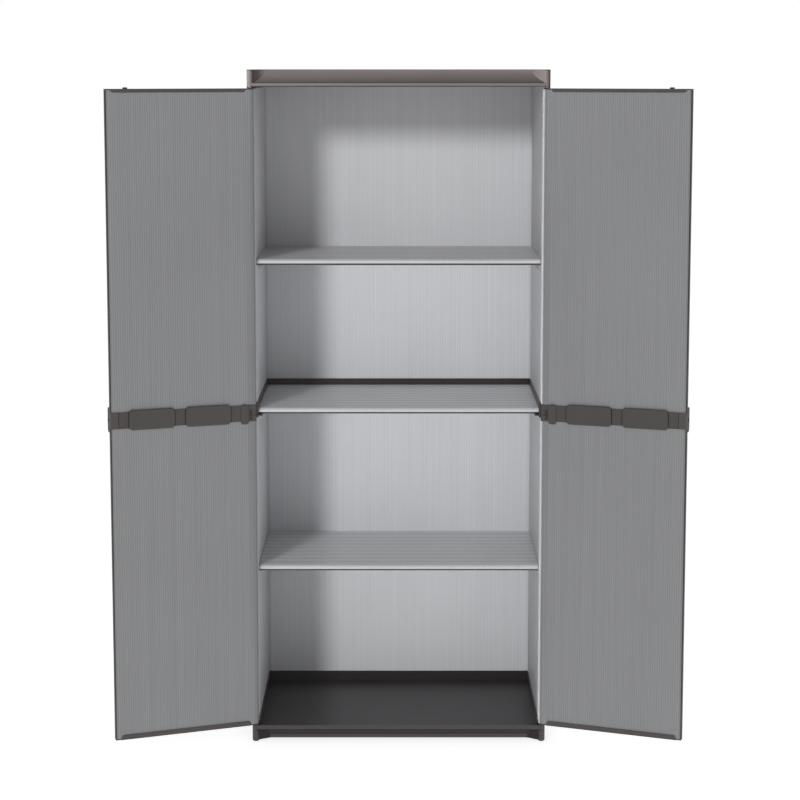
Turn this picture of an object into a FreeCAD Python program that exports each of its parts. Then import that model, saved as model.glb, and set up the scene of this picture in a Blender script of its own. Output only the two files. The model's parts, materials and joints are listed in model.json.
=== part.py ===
import FreeCAD, Part
import os

# A two-door garden storage cabinet. Hollow extruded panels stand in the channels of a moulded
# base tray, a mid frame and a top cap. Each door is two panels joined by a mid bar, turns on
# pins in the tray and the cap, and has a third knuckle on the mid frame.
#
# Millimetres, +Z up. The model is drawn with the hinge axes on Y = 0, the front towards -Y and
# the feet on Z = 0, and is moved at the end so that the origin is the middle of the whole
# cabinet's footprint with its doors open.

Vector = FreeCAD.Vector
ORIGIN = Vector(0, 0, 0)
UP = Vector(0, 0, 1)

# Overall sizes
overall_width = 680.0
overall_height = 1551.0
carcass_depth = 390.0
door_rest_angle = 160.0

# Hollow extruded panels
panel_thickness = 14.0
door_thickness = 15.0
shelf_thickness = 15.0
skin_thickness = 1.2
web_thickness = 1.0
web_pitch = 36.0

# Moulded parts
moulding_wall = 2.2
groove_clearance = 0.3
seat_clearance = 0.1
rib_thickness = 2.0
column_radius = 8.0
foot_chamfer = 2.5
lip_wall = 2.5
lip_step = 1.5
cove_depth = 21.0
cove_hollow = 3.0
ramp_run = 27.0

# Base tray, heights above the ground
foot_height = 8.0
base_cove_top = 27.0
base_lip_top = 39.0
base_channel_floor = 24.0
base_skirt_top = 46.0
floor_top = 32.0
floor_thickness = 3.0
floor_rim_height = 25.0
tray_rib_columns = 3
tray_rib_rows = 2

# Top cap, depths below its top face
cap_plate_thickness = 3.0
cap_cove_depth = 30.0
cap_lip_end = 38.0
cap_channel_floor = 19.0
cap_rim_end = 42.0
cap_skirt_end = 47.0
cap_rib_depth = 9.0

# Mid frame
frame_bottom = 761.0
frame_height = 36.0
frame_web_thickness = 4.0
ledge_rise = 2.5
ledge_width = 9.0
ledge_thickness = 3.5

# Doors
meeting_gap = 2.0
door_gap = 1.0
door_bar_drop = 4.5
door_clearance_behind = 1.0
bar_height = 37.0
bar_wall = 2.0
bar_web_thickness = 3.0
pad_height = 45.0
pad_margin = 24.0
pad_neck = 25.5
pad_rise = 3.0
pad_corner = 8.0
clip_length = 18.0
clip_height = 45.0
clip_drop = 2.5
clip_rise = 2.0
clip_corner = 6.0
block_end = 13.5
block_height = 38.5
knuckle_height = 12.0
knuckle_clearance = 0.4
neck_share = 0.8
slot_width = 2.8
slot_depth = 3.0
slot_height = 22.0
slot_drop = 2.8
slot_foot = 7.0
slot_start = 4.2
mid_pin_radius = 3.5
mid_pin_length = 9.0
end_pin_radius = 4.0
end_pin_length = 14.0
pin_clearance = 0.05
pin_end_space = 1.0
thrust_boss_radius = 6.5
thrust_boss_sides = 8
thrust_gap = 0.2
tongue_length = 20.0
end_cap_plate = 2.5
end_cap_wall = 1.5
end_cap_inset = 12.0
top_cap_flange = 8.0
bottom_cap_flange = 11.0
edge_strip_thickness = 2.0
edge_strip_chamfer = 1.2
catch_inset = 51.0
catch_length = 10.0
catch_width = 6.0
catch_height = 3.3
catch_chamfer = 1.1
handle_length = 17.0
lug_height = 56.0
lug_thickness = 7.0
lug_reach = 16.5
lug_corner = 7.0
padlock_hole_radius = 4.5
padlock_hole_offset = 9.0

# Shelves
lower_shelf_top = 414.0
upper_shelf_top = 1124.0
shelf_front = 16.0
shelf_side_gap = 0.75
shelf_back_gap = 1.0
shelf_groove_pitch = 28.0
shelf_groove_width = 1.6
shelf_groove_depth = 0.7
bracket_length = 40.0
bracket_height = 16.0
bracket_ledge = 14.0
bracket_wall = 2.5
bracket_inset = 60.0

# Places that follow from the sizes
frame_web_middle = frame_bottom + frame_height / 2
door_bar_middle = frame_web_middle - door_bar_drop
axis_x = overall_width / 2 - column_radius
front_y = -column_radius
back_y = front_y + carcass_depth
side_outer_x = overall_width / 2 - moulding_wall - groove_clearance
side_inner_x = side_outer_x - panel_thickness
back_outer_y = back_y - moulding_wall - groove_clearance
back_inner_y = back_outer_y - panel_thickness
rim_outer_x = side_inner_x - groove_clearance
rim_outer_y = back_inner_y - groove_clearance
rim_inner_x = rim_outer_x - moulding_wall
rim_inner_y = rim_outer_y - moulding_wall
carcass_front = door_thickness / 2 + door_clearance_behind
panel_front = carcass_front + moulding_wall + groove_clearance
frame_top = frame_bottom + frame_height
lower_panel_bottom = base_channel_floor + seat_clearance
lower_panel_top = frame_web_middle - frame_web_thickness / 2 - seat_clearance
upper_panel_bottom = frame_web_middle + frame_web_thickness / 2 + seat_clearance
upper_panel_top = overall_height - cap_channel_floor - seat_clearance
cap_lip_bottom = overall_height - cap_lip_end
door_bottom = base_lip_top + door_gap
door_top = cap_lip_bottom - catch_height - door_gap / 2
cap_column_end = overall_height - door_top - door_gap
door_length = axis_x - meeting_gap / 2
door_panel_end = door_length - edge_strip_thickness - seat_clearance
bar_face = door_thickness / 2 + groove_clearance + bar_wall
bar_end = door_length - handle_length - seat_clearance
pad_length = (bar_end - block_end - clip_length - 2 * pad_margin - pad_neck) / 2
neck_half_width = neck_share * door_thickness / 2
arc_share = 1 - 0.5 ** 0.5
touch = 0.01


def block(x_range, y_range, z_range):
    """Return a solid between pairs of coordinates."""
    size = [high - low for low, high in (x_range, y_range, z_range)]
    return Part.makeBox(*size, Vector(x_range[0], y_range[0], z_range[0]))


def cylinder(radius, x, y, z_range):
    """Return an upright cylinder."""
    return Part.makeCylinder(radius, z_range[1] - z_range[0], Vector(x, y, z_range[0]))


def prism(radius, sides, z_range):
    """Return an upright prism with its axis on X = 0, Y = 0."""
    corner = Vector(radius, 0, z_range[0])
    corners = [FreeCAD.Rotation(UP, 360.0 * i / sides).multVec(corner) for i in range(sides)]
    return extruded([outline(corners)], UP * (z_range[1] - z_range[0]))


def outline(points):
    """Return a closed wire. A point given as a pair (through, end) makes an arc to its end."""
    edges = []
    start = points[0]
    for point in list(points[1:]) + [points[0]]:
        if isinstance(point, tuple):
            edges.append(Part.Arc(start, point[0], point[1]).toShape())
            start = point[1]
        elif not start.isEqual(point, 1e-6):
            edges.append(Part.LineSegment(start, point).toShape())
            start = point
    return Part.Wire(edges)


def extruded(wires, direction):
    """Return the solid swept by the area between the first wire and the rest."""
    return Part.makeFace(wires, "Part::FaceMakerBullseye").extrude(direction)


def joined(shapes):
    """Return the shapes fused into one, with no seams between flat faces."""
    return shapes[0].fuse(shapes[1:]).removeSplitter()


def rectangle(x_range, y_range, z=0.0):
    """Return a rectangular wire on a level plane."""
    low, high = x_range
    near, far = y_range
    corners = [Vector(low, near, z), Vector(high, near, z), Vector(high, far, z), Vector(low, far, z)]
    return outline(corners)


def rounded_tab(x_range, z_range, y, radius):
    """Return an upright rounded rectangle on the plane Y = y."""
    low, high = x_range
    bottom, top = z_range
    short = radius * arc_share
    return outline([
        Vector(low + radius, y, bottom),
        Vector(high - radius, y, bottom),
        (Vector(high - short, y, bottom + short), Vector(high, y, bottom + radius)),
        Vector(high, y, top - radius),
        (Vector(high - short, y, top - short), Vector(high - radius, y, top)),
        Vector(low + radius, y, top),
        (Vector(low + short, y, top - short), Vector(low, y, top - radius)),
        Vector(low, y, bottom + radius),
        (Vector(low + short, y, bottom + short), Vector(low + radius, y, bottom)),
    ])


def cut_tab(x_range, z_range, y, cut):
    """Return an upright rectangle with cut corners on the plane Y = y."""
    low, high = x_range
    bottom, top = z_range
    return outline([
        Vector(low + cut, y, bottom),
        Vector(high - cut, y, bottom),
        Vector(high, y, bottom + cut),
        Vector(high, y, top - cut),
        Vector(high - cut, y, top),
        Vector(low + cut, y, top),
        Vector(low, y, top - cut),
        Vector(low, y, bottom + cut),
    ])


def mirrored_x(shape):
    """Return the shape's mirror image across the cabinet's middle plane."""
    return shape.mirror(ORIGIN, Vector(1, 0, 0))


def cell_ranges(start, end, pitch):
    """Divide a panel's inside into equal cells between webs, close to a pitch apart."""
    count = max(1, round((end - start) / pitch))
    step = (end - start + web_thickness) / count
    return [(start + i * step, start + (i + 1) * step - web_thickness) for i in range(count)]


# Hollow panels

def side_panel(z_range):
    """Return the right-hand side panel: upright flutes and a rear edge rounded to the mouldings."""
    low, high = z_range
    radius = column_radius - moulding_wall - groove_clearance
    short = radius * arc_share
    plan = outline([
        Vector(side_inner_x, panel_front, low),
        Vector(side_outer_x, panel_front, low),
        Vector(side_outer_x, back_outer_y - radius, low),
        (Vector(side_outer_x - short, back_outer_y - short, low),
         Vector(side_outer_x - radius, back_outer_y, low)),
        Vector(side_inner_x, back_outer_y, low),
    ])
    across = (side_inner_x + skin_thickness, side_outer_x - skin_thickness)
    wires = [plan]
    for cell in cell_ranges(panel_front + skin_thickness, back_outer_y - radius, web_pitch):
        wires.append(rectangle(across, cell, low))
    return extruded(wires, UP * (high - low))


def back_panel(z_range):
    """Return a back panel with upright flutes, which fits between the two side panels."""
    low, high = z_range
    half = side_inner_x - groove_clearance
    across = (back_inner_y + skin_thickness, back_outer_y - skin_thickness)
    wires = [rectangle((-half, half), (back_inner_y, back_outer_y), low)]
    for cell in cell_ranges(skin_thickness - half, half - skin_thickness, web_pitch):
        wires.append(rectangle(cell, across, low))
    return extruded(wires, UP * (high - low))


def door_outline(end, half_thickness, z):
    """Return a door's plan, rounded about the hinge axis, in the door's own place."""
    return outline([
        Vector(0, half_thickness, z),
        (Vector(-half_thickness, 0, z), Vector(0, -half_thickness, z)),
        Vector(end, -half_thickness, z),
        Vector(end, half_thickness, z),
    ])


def door_cells():
    """Return the ranges of a door panel's flutes, measured from the hinge axis."""
    return cell_ranges(0, door_panel_end - skin_thickness, web_pitch)


def door_panel(z_range, notch_range):
    """Return a door panel with a rounded hinge edge, notched clear of the middle hinge."""
    low = z_range[0]
    wires = [door_outline(door_panel_end, door_thickness / 2, low)]
    inside = door_thickness / 2 - skin_thickness
    for cell in door_cells():
        wires.append(rectangle(cell, (-inside, inside), low))
    panel = extruded(wires, UP * (z_range[1] - low))
    notch_end = block_end + groove_clearance
    return panel.cut(block((-door_thickness, notch_end), (-door_thickness, door_thickness), notch_range))


def shelf(half_width, y_range, top):
    """Return a shelf extruded along X, with a round nose and shallow grooves on top."""
    front, back = y_range
    bottom = top - shelf_thickness
    radius = shelf_thickness / 2
    points = [Vector(-half_width, front + radius, bottom)]
    points.append(Vector(-half_width, back, bottom))
    points.append(Vector(-half_width, back, top))
    groove_count = int((back - front - 2 * radius) // shelf_groove_pitch)
    for i in range(groove_count, 0, -1):
        middle = front + radius + (i - 0.5) * shelf_groove_pitch
        points.append(Vector(-half_width, middle + shelf_groove_width / 2, top))
        points.append(Vector(-half_width, middle, top - shelf_groove_depth))
        points.append(Vector(-half_width, middle - shelf_groove_width / 2, top))
    points.append(Vector(-half_width, front + radius, top))
    points.append((Vector(-half_width, front, top - radius), points[0]))
    wires = [outline(points)]
    skin = skin_thickness + shelf_groove_depth
    for near, far in cell_ranges(front + radius, back - skin_thickness, shelf_groove_pitch):
        wires.append(outline([
            Vector(-half_width, near, bottom + skin_thickness),
            Vector(-half_width, far, bottom + skin_thickness),
            Vector(-half_width, far, top - skin),
            Vector(-half_width, near, top - skin),
        ]))
    return extruded(wires, Vector(2 * half_width, 0, 0))


# Moulded base tray, mid frame and top cap

def u_plan(half_width, far_y, near_y, radius, z):
    """Return a plan that is square at the front, with rear corners of the radius given, or square."""
    if radius <= moulding_wall:
        return rectangle((-half_width, half_width), (near_y, far_y), z)
    short = radius * arc_share
    return outline([
        Vector(-half_width, near_y, z),
        Vector(half_width, near_y, z),
        Vector(half_width, far_y - radius, z),
        (Vector(half_width - short, far_y - short, z), Vector(half_width - radius, far_y, z)),
        Vector(radius - half_width, far_y, z),
        (Vector(short - half_width, far_y - short, z), Vector(-half_width, far_y - radius, z)),
    ])


def u_wall(half_width, far_y, wall, z_range, radius, near_y=carcass_front):
    """Return an upright wall round the sides and the back, of the stated outer size."""
    low, high = z_range
    outer = extruded([u_plan(half_width, far_y, near_y, radius, low)], UP * (high - low))
    inner_plan = u_plan(half_width - wall, far_y - wall, near_y - wall, radius - wall, low)
    return outer.cut(extruded([inner_plan], UP * (high - low)))


def channel(z_range, skirt_range, rim_end):
    """Return the channel that holds the panels: outer wall, floor, inner wall and front ends."""
    low, high = z_range
    outer = u_wall(overall_width / 2, back_y, moulding_wall, skirt_range, column_radius)
    inner = u_wall(rim_outer_x, rim_outer_y, moulding_wall, (low, rim_end), moulding_wall)
    width = overall_width / 2 - rim_inner_x
    floor = u_wall(overall_width / 2, back_y, width, (low, high), column_radius)
    pieces = [outer, inner, floor]
    end_top = min(skirt_range[1], rim_end)
    for side in (-1, 1):
        ends = sorted((side * rim_inner_x, side * overall_width / 2))
        pieces.append(block(ends, (carcass_front, carcass_front + moulding_wall), (low, end_top)))
    return joined(pieces)


def front_rail(cove_end, cove_start, lip_top):
    """Return the front rail, a lip over a hollow cove, between the two columns."""
    cove_back = front_y + cove_depth
    middle_y = (front_y + lip_step + cove_back) / 2 + cove_hollow
    middle_z = (cove_start + cove_end) / 2 + cove_hollow
    diagonal = lip_wall * 0.5 ** 0.5
    x = -axis_x
    profile = outline([
        Vector(x, front_y, lip_top),
        Vector(x, front_y, cove_start),
        Vector(x, front_y + lip_step, cove_start),
        (Vector(x, middle_y, middle_z), Vector(x, cove_back, cove_end)),
        Vector(x, cove_back + lip_wall, cove_end),
        (Vector(x, middle_y + diagonal, middle_z + diagonal),
         Vector(x, front_y + lip_wall, cove_start + lip_wall)),
        Vector(x, front_y + lip_wall, lip_top),
    ])
    rail = extruded([profile], Vector(2 * axis_x, 0, 0))
    panel_space = block((rim_inner_x, axis_x), (carcass_front, cove_back + lip_wall), (cove_end, lip_top))
    return rail.cut([panel_space, mirrored_x(panel_space)])


def corner_ramp(cove_end, cove_start):
    """Return the block that closes the right end of the cove with a slanting face."""
    cove_back = front_y + cove_depth + lip_wall / 2
    plan = outline([
        Vector(axis_x, front_y + lip_step, cove_end),
        Vector(axis_x, carcass_front, cove_end),
        Vector(rim_inner_x, carcass_front, cove_end),
        Vector(rim_inner_x, cove_back, cove_end),
        Vector(axis_x - column_radius - ramp_run, cove_back, cove_end),
    ])
    return extruded([plan], UP * (cove_start - cove_end))


def hinge_column(top, low_end):
    """Return the right front column, bevelled at its free end, on the heel that the doors clear."""
    column = cylinder(column_radius, axis_x, 0, (0, top))
    rim = [edge for edge in column.Edges if edge.BoundBox.ZMax < touch]
    column = column.makeChamfer(foot_chamfer, rim)
    heel = block((axis_x - column_radius, overall_width / 2), (0, carcass_front), (low_end, top - door_gap))
    return column.fuse(heel)


def rib_grid(z_range, near_y, columns, rows):
    """Return crossing ribs that stiffen a flat plate inside the inner wall."""
    ribs = []
    for i in range(columns):
        x = -rim_inner_x + (i + 1) * 2 * rim_inner_x / (columns + 1)
        ribs.append(block((x - rib_thickness / 2, x + rib_thickness / 2), (near_y, rim_outer_y), z_range))
    for i in range(rows):
        y = near_y + (i + 1) * (rim_outer_y - near_y) / (rows + 1)
        across = (y - rib_thickness / 2, y + rib_thickness / 2)
        ribs.append(block((-rim_outer_x, rim_outer_x), across, z_range))
    return ribs


def tray_shell(cove_end, cove_start, lip_top, column_top, channel_parts, plate, ribs):
    """Return the moulding that the base tray and the top cap share, with its lip upwards."""
    rail = front_rail(cove_end, cove_start, lip_top)
    ramp = corner_ramp(cove_end, cove_start)
    column = hinge_column(column_top, cove_end)
    pieces = [rail, ramp, mirrored_x(ramp), column, mirrored_x(column), channel_parts, plate] + ribs
    shell = joined(pieces)
    depth = end_pin_length + pin_end_space - door_gap
    for side in (-1, 1):
        socket = (column_top - depth, column_top)
        shell = shell.cut(cylinder(end_pin_radius + pin_clearance, side * axis_x, 0, socket))
    return shell


def base_tray():
    """Return the base: feet, coved front, floor inside a raised rim, ribs underneath."""
    rim_top = floor_top + floor_rim_height
    channel_low = base_channel_floor - moulding_wall
    walls = channel((channel_low, base_channel_floor), (foot_height, base_skirt_top), rim_top)
    low = floor_top - floor_thickness
    plate = block((-rim_outer_x, rim_outer_x), (front_y + lip_wall / 2, rim_outer_y), (low, floor_top))
    ribs = rib_grid((foot_height + rib_thickness, low), front_y + cove_depth,
                    tray_rib_columns, tray_rib_rows)
    shell = tray_shell(foot_height, base_cove_top, base_lip_top, base_lip_top, walls, plate, ribs)
    foot = cylinder(column_radius, axis_x, back_y - column_radius, (0, channel_low))
    return joined([shell, foot, mirrored_x(foot)])


def top_cap():
    """Return the cap: drawn upside down like the tray, then turned over onto the panels."""
    channel_low = cap_channel_floor - moulding_wall
    walls = channel((channel_low, cap_channel_floor), (0, cap_skirt_end), cap_rim_end)
    plate_plan = u_plan(overall_width / 2, back_y, front_y + cove_depth, column_radius, 0)
    plate = extruded([plate_plan], UP * cap_plate_thickness)
    ribs = rib_grid((cap_plate_thickness, cap_plate_thickness + cap_rib_depth), front_y + cove_depth,
                    tray_rib_columns, tray_rib_rows)
    shell = tray_shell(0, cap_cove_depth, cap_lip_end, cap_column_end, walls, plate, ribs)
    turned = shell.mirror(ORIGIN, UP)
    turned.translate(UP * overall_height)
    return turned


def frame_knuckle():
    """Return the right-hand middle knuckle, its neck and its two pins."""
    half = knuckle_height / 2
    radius = door_thickness / 2
    knuckle = cylinder(radius, axis_x, 0, (door_bar_middle - half, door_bar_middle + half))
    neck = block((axis_x - neck_half_width, axis_x + neck_half_width),
                 (0, carcass_front + moulding_wall / 2),
                 (door_bar_middle - half, door_bar_middle + half))
    reach = half + mid_pin_length
    pin = cylinder(mid_pin_radius, axis_x, 0, (door_bar_middle - reach, door_bar_middle + reach))
    return joined([knuckle, neck, pin])


def mid_frame():
    """Return the band that joins lower to upper panels and carries the middle shelf."""
    web = (frame_web_middle - frame_web_thickness / 2, frame_web_middle + frame_web_thickness / 2)
    outer = u_wall(overall_width / 2, back_y, moulding_wall, (frame_bottom, frame_top), column_radius)
    inner = u_wall(rim_outer_x, rim_outer_y, moulding_wall, (frame_bottom, frame_top), moulding_wall)
    width = overall_width / 2 - rim_inner_x
    floor = u_wall(overall_width / 2, back_y, width, web, column_radius)
    ledge_low = frame_bottom + ledge_rise
    ledge = u_wall(rim_outer_x, rim_outer_y, moulding_wall + ledge_width,
                   (ledge_low, ledge_low + ledge_thickness), moulding_wall, shelf_front)
    pieces = [outer, inner, floor, ledge]
    for side in (-1, 1):
        ends = sorted((side * rim_inner_x, side * overall_width / 2))
        pieces.append(block(ends, (carcass_front, carcass_front + moulding_wall), (frame_bottom, frame_top)))
    knuckle = frame_knuckle()
    return joined(pieces + [knuckle, mirrored_x(knuckle)])


# Shelves and their brackets

def wall_shelf(top):
    """Return a shelf that reaches the walls and rests on four brackets."""
    return shelf(side_inner_x - shelf_side_gap, (shelf_front, back_inner_y - shelf_back_gap), top)


def frame_shelf():
    """Return the middle shelf, which lies on the mid frame's ledge."""
    top = frame_bottom + ledge_rise + ledge_thickness + seat_clearance + shelf_thickness
    half = rim_inner_x - groove_clearance
    return shelf(half, (shelf_front, rim_inner_y - groove_clearance), top)


def shelf_brackets(top):
    """Return four brackets: a wall plate, a ledge under the shelf and a gusset between them."""
    seat = top - shelf_thickness - seat_clearance
    wall_x = side_inner_x - seat_clearance
    angle = outline([
        Vector(wall_x, 0, seat),
        Vector(wall_x, 0, seat - bracket_height),
        Vector(wall_x - bracket_wall, 0, seat - bracket_height),
        Vector(wall_x - bracket_wall, 0, seat - bracket_wall),
        Vector(wall_x - bracket_ledge, 0, seat - bracket_wall),
        Vector(wall_x - bracket_ledge, 0, seat),
    ])
    gusset = outline([
        Vector(wall_x, 0, seat),
        Vector(wall_x, 0, seat - bracket_height),
        Vector(wall_x - bracket_wall, 0, seat - bracket_height),
        Vector(wall_x - bracket_ledge, 0, seat - bracket_wall),
        Vector(wall_x - bracket_ledge, 0, seat),
    ])
    plate = extruded([angle], Vector(0, bracket_length, 0))
    rib = extruded([gusset], Vector(0, rib_thickness, 0))
    rib.translate(Vector(0, (bracket_length - rib_thickness) / 2, 0))
    bracket = joined([plate, rib])
    group = []
    for y in (shelf_front + bracket_inset, back_inner_y - bracket_inset):
        right = bracket.copy()
        right.translate(Vector(0, y, 0))
        group.extend([right, mirrored_x(right)])
    return Part.Compound(group)


# Door pieces, drawn closed with the hinge axis on X = 0, the inner face towards +Y

def door_panels():
    """Return the upper and the lower door panel."""
    web = bar_web_thickness / 2 + seat_clearance
    notch = block_height / 2 + groove_clearance
    plate = end_cap_plate + seat_clearance
    upper_range = (door_bar_middle + web, door_top - plate)
    lower_range = (door_bottom + plate, door_bar_middle - web)
    upper = door_panel(upper_range, (upper_range[0] - 1, door_bar_middle + notch))
    lower = door_panel(lower_range, (door_bar_middle - notch, lower_range[1] + 1))
    return upper, lower


def raised_pad(start, length, height, rise, corner, middle):
    """Return a pad with round corners on the bar's inner face and one with cut corners behind it."""
    z_range = (middle - height / 2, middle + height / 2)
    x_range = (start, start + length)
    inner = rounded_tab(x_range, z_range, bar_face - bar_wall, corner)
    outer = cut_tab(x_range, z_range, bar_wall - bar_face, corner / 2)
    through = Vector(0, rise + bar_wall, 0)
    return [extruded([inner], through), extruded([outer], -through)]


def h_section(start, end):
    """Return a length of the mid bar: two flanges over the panels' faces and a web between."""
    half = bar_height / 2
    web = bar_web_thickness / 2
    inside = bar_face - bar_wall
    middle = door_bar_middle
    corners = [
        (bar_face, half), (bar_face, -half), (inside, -half), (inside, -web),
        (-inside, -web), (-inside, -half), (-bar_face, -half), (-bar_face, half),
        (-inside, half), (-inside, web), (inside, web), (inside, half),
    ]
    wire = outline([Vector(start, y, middle + z) for y, z in corners])
    return extruded([wire], Vector(end - start, 0, 0))


def mid_bar():
    """Return the bar across the door, with its pads, clip and two hinge knuckles."""
    half = door_thickness / 2
    z_range = (door_bar_middle - block_height / 2, door_bar_middle + block_height / 2)
    plate = block((0, block_end), (-half, half), z_range)
    end_wall = block((block_end - bar_wall, block_end), (-bar_face, bar_face), z_range)
    knuckles = cylinder(half, 0, 0, z_range)
    pieces = [h_section(block_end, bar_end), plate, end_wall, knuckles]
    first_pad = block_end + clip_length + pad_margin
    for start in (first_pad, first_pad + pad_length + pad_neck):
        pieces.extend(raised_pad(start, pad_length, pad_height, pad_rise, pad_corner, door_bar_middle))
    clip_middle = door_bar_middle - clip_drop
    pieces.extend(raised_pad(block_end, clip_length, clip_height, clip_rise, clip_corner, clip_middle))
    bar = joined(pieces)
    gap = knuckle_height / 2 + knuckle_clearance
    room = half + door_clearance_behind / 2
    bar = bar.cut(cylinder(room, 0, 0, (door_bar_middle - gap, door_bar_middle + gap)))
    bar = bar.cut(block((-room, neck_half_width + knuckle_clearance), (-room, room),
                        (door_bar_middle - gap, door_bar_middle + gap)))
    reach = knuckle_height / 2 + mid_pin_length + pin_end_space
    bore = cylinder(mid_pin_radius + pin_clearance, 0, 0, (door_bar_middle - reach, door_bar_middle + reach))
    return bar.cut(bore).cut(clip_slot())


def clip_slot():
    """Return the L-shaped recess in the inner face of the hinge block, its foot towards the hinge."""
    depth_range = (door_thickness / 2 - slot_depth, door_thickness)
    low = door_bar_middle - slot_drop - slot_height / 2
    end = slot_start + slot_foot
    leg = block((end - slot_width, end), depth_range, (low, low + slot_height))
    foot = block((slot_start, end), depth_range, (low, low + slot_width))
    return leg.fuse(foot)


def door_handle():
    """Return the handle at the free edge: it wraps the panels and carries the padlock lug."""
    middle = door_bar_middle
    start = door_length - handle_length
    section = h_section(start, door_length)
    half = door_thickness / 2 + groove_clearance + bar_wall / 2
    edge_plate = block((door_length - edge_strip_thickness, door_length), (-half, half),
                       (middle - bar_height / 2, middle + bar_height / 2))
    reach = door_thickness / 2 + lug_reach
    z_range = (middle - lug_height / 2, middle + lug_height / 2)
    foot = block((start, door_length), (-bar_face, bar_wall - bar_face), z_range)
    lug_x = door_length - lug_thickness
    short = lug_corner * arc_share
    low, high = z_range
    lug_plan = outline([
        Vector(lug_x, bar_wall - bar_face, low),
        Vector(lug_x, bar_wall - bar_face, high),
        Vector(lug_x, lug_corner - reach, high),
        (Vector(lug_x, short - reach, high - short), Vector(lug_x, -reach, high - lug_corner)),
        Vector(lug_x, -reach, low + lug_corner),
        (Vector(lug_x, short - reach, low + short), Vector(lug_x, lug_corner - reach, low)),
    ])
    lug = extruded([lug_plan], Vector(lug_thickness, 0, 0))
    hole_y = padlock_hole_offset - reach
    hole_start = Vector(lug_x, hole_y, middle)
    hole = Part.makeCylinder(padlock_hole_radius, lug_thickness, hole_start, Vector(1, 0, 0))
    return joined([section, edge_plate, foot, lug]).cut(hole)


def edge_strip(z_range):
    """Return the strip that finishes the door's free edge between the mid bar and an end cap."""
    half = door_thickness / 2
    strip = block((door_length - edge_strip_thickness, door_length), (-half, half), z_range)
    outer = [edge for edge in strip.Edges
             if edge.BoundBox.XMin > door_length - touch and edge.BoundBox.ZLength > door_thickness]
    return strip.makeChamfer(edge_strip_chamfer, outer)


def end_cap(flange_height):
    """Return a door's bottom end cap on Z = 0: plate, flanges, pin, thrust boss and two tongues."""
    half = door_thickness / 2
    outside = half + groove_clearance + end_cap_wall
    plate = extruded([door_outline(door_length, half, 0)], UP * end_cap_plate)
    flange_start = block_end + seat_clearance
    flange_end = door_length - end_cap_inset
    corner = flange_height / 2
    flange_plan = outline([
        Vector(flange_start, half + groove_clearance, 0),
        Vector(flange_end, half + groove_clearance, 0),
        Vector(flange_end, half + groove_clearance, flange_height - corner),
        Vector(flange_end - corner, half + groove_clearance, flange_height),
        Vector(flange_start + corner, half + groove_clearance, flange_height),
        Vector(flange_start, half + groove_clearance, flange_height - corner),
    ])
    flange = extruded([flange_plan], Vector(0, end_cap_wall, 0))
    bridge = block((flange_start, flange_end), (-outside, outside), (0, end_cap_plate))
    boss = prism(thrust_boss_radius, thrust_boss_sides, (thrust_gap - door_gap, 0))
    pin = cylinder(end_pin_radius, 0, 0, (-end_pin_length, 0))
    pieces = [plate, flange, flange.mirror(ORIGIN, Vector(0, 1, 0)), bridge, boss, pin]
    tongue_half = half - skin_thickness - groove_clearance
    for start, end in (door_cells()[0], door_cells()[-1]):
        pieces.append(block((start + groove_clearance, end - groove_clearance), (-tongue_half, tongue_half),
                            (0, end_cap_plate + tongue_length)))
    return joined(pieces)


def bottom_end_cap():
    """Return the bottom end cap at its height."""
    cap = end_cap(bottom_cap_flange)
    cap.translate(UP * door_bottom)
    return cap


def top_end_cap():
    """Return the top end cap, the bottom one turned over, with a catch nub on top."""
    cap = end_cap(top_cap_flange).mirror(ORIGIN, UP)
    catch_start = door_length - catch_inset
    nub = block((catch_start, catch_start + catch_length), (-catch_width / 2, catch_width / 2),
                (-end_cap_plate / 2, catch_height))
    crown = [edge for edge in nub.Edges if edge.BoundBox.ZMin > catch_height - touch]
    cap = joined([cap, nub.makeChamfer(catch_chamfer, crown)])
    cap.translate(UP * door_top)
    return cap


def door_pieces():
    """Return one door's pieces by name, closed, in the door's own place."""
    upper, lower = door_panels()
    above_bar = door_bar_middle + bar_height / 2 + seat_clearance
    below_bar = door_bar_middle - bar_height / 2 - seat_clearance
    plate = end_cap_plate + seat_clearance
    return {
        "upper_panel": upper,
        "lower_panel": lower,
        "mid_bar": mid_bar(),
        "handle": door_handle(),
        "top_end_cap": top_end_cap(),
        "bottom_end_cap": bottom_end_cap(),
        "upper_edge_strip": edge_strip((above_bar, door_top - plate)),
        "lower_edge_strip": edge_strip((door_bottom + plate, below_bar)),
    }


# Assembly

def carcass_nodes():
    """Return the fixed pieces by name."""
    upper = (upper_panel_bottom, upper_panel_top)
    lower = (lower_panel_bottom, lower_panel_top)
    nodes = {
        "base_tray": base_tray(),
        "mid_frame": mid_frame(),
        "top_cap": top_cap(),
        "upper_back_panel": back_panel(upper),
        "lower_back_panel": back_panel(lower),
        "upper_shelf": wall_shelf(upper_shelf_top),
        "middle_shelf": frame_shelf(),
        "lower_shelf": wall_shelf(lower_shelf_top),
        "upper_shelf_brackets": shelf_brackets(upper_shelf_top),
        "lower_shelf_brackets": shelf_brackets(lower_shelf_top),
    }
    for level, z_range in (("upper", upper), ("lower", lower)):
        right = side_panel(z_range)
        nodes["right_" + level + "_side_panel"] = right
        nodes["left_" + level + "_side_panel"] = mirrored_x(right)
    return nodes


def door_nodes():
    """Return both doors' pieces by name, open at the rest angle."""
    nodes = {}
    for name, piece in door_pieces().items():
        left = piece.copy()
        left.rotate(ORIGIN, UP, -door_rest_angle)
        left.translate(Vector(-axis_x, 0, 0))
        nodes["left_door_" + name] = left
        nodes["right_door_" + name] = mirrored_x(left)
    return nodes


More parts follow.
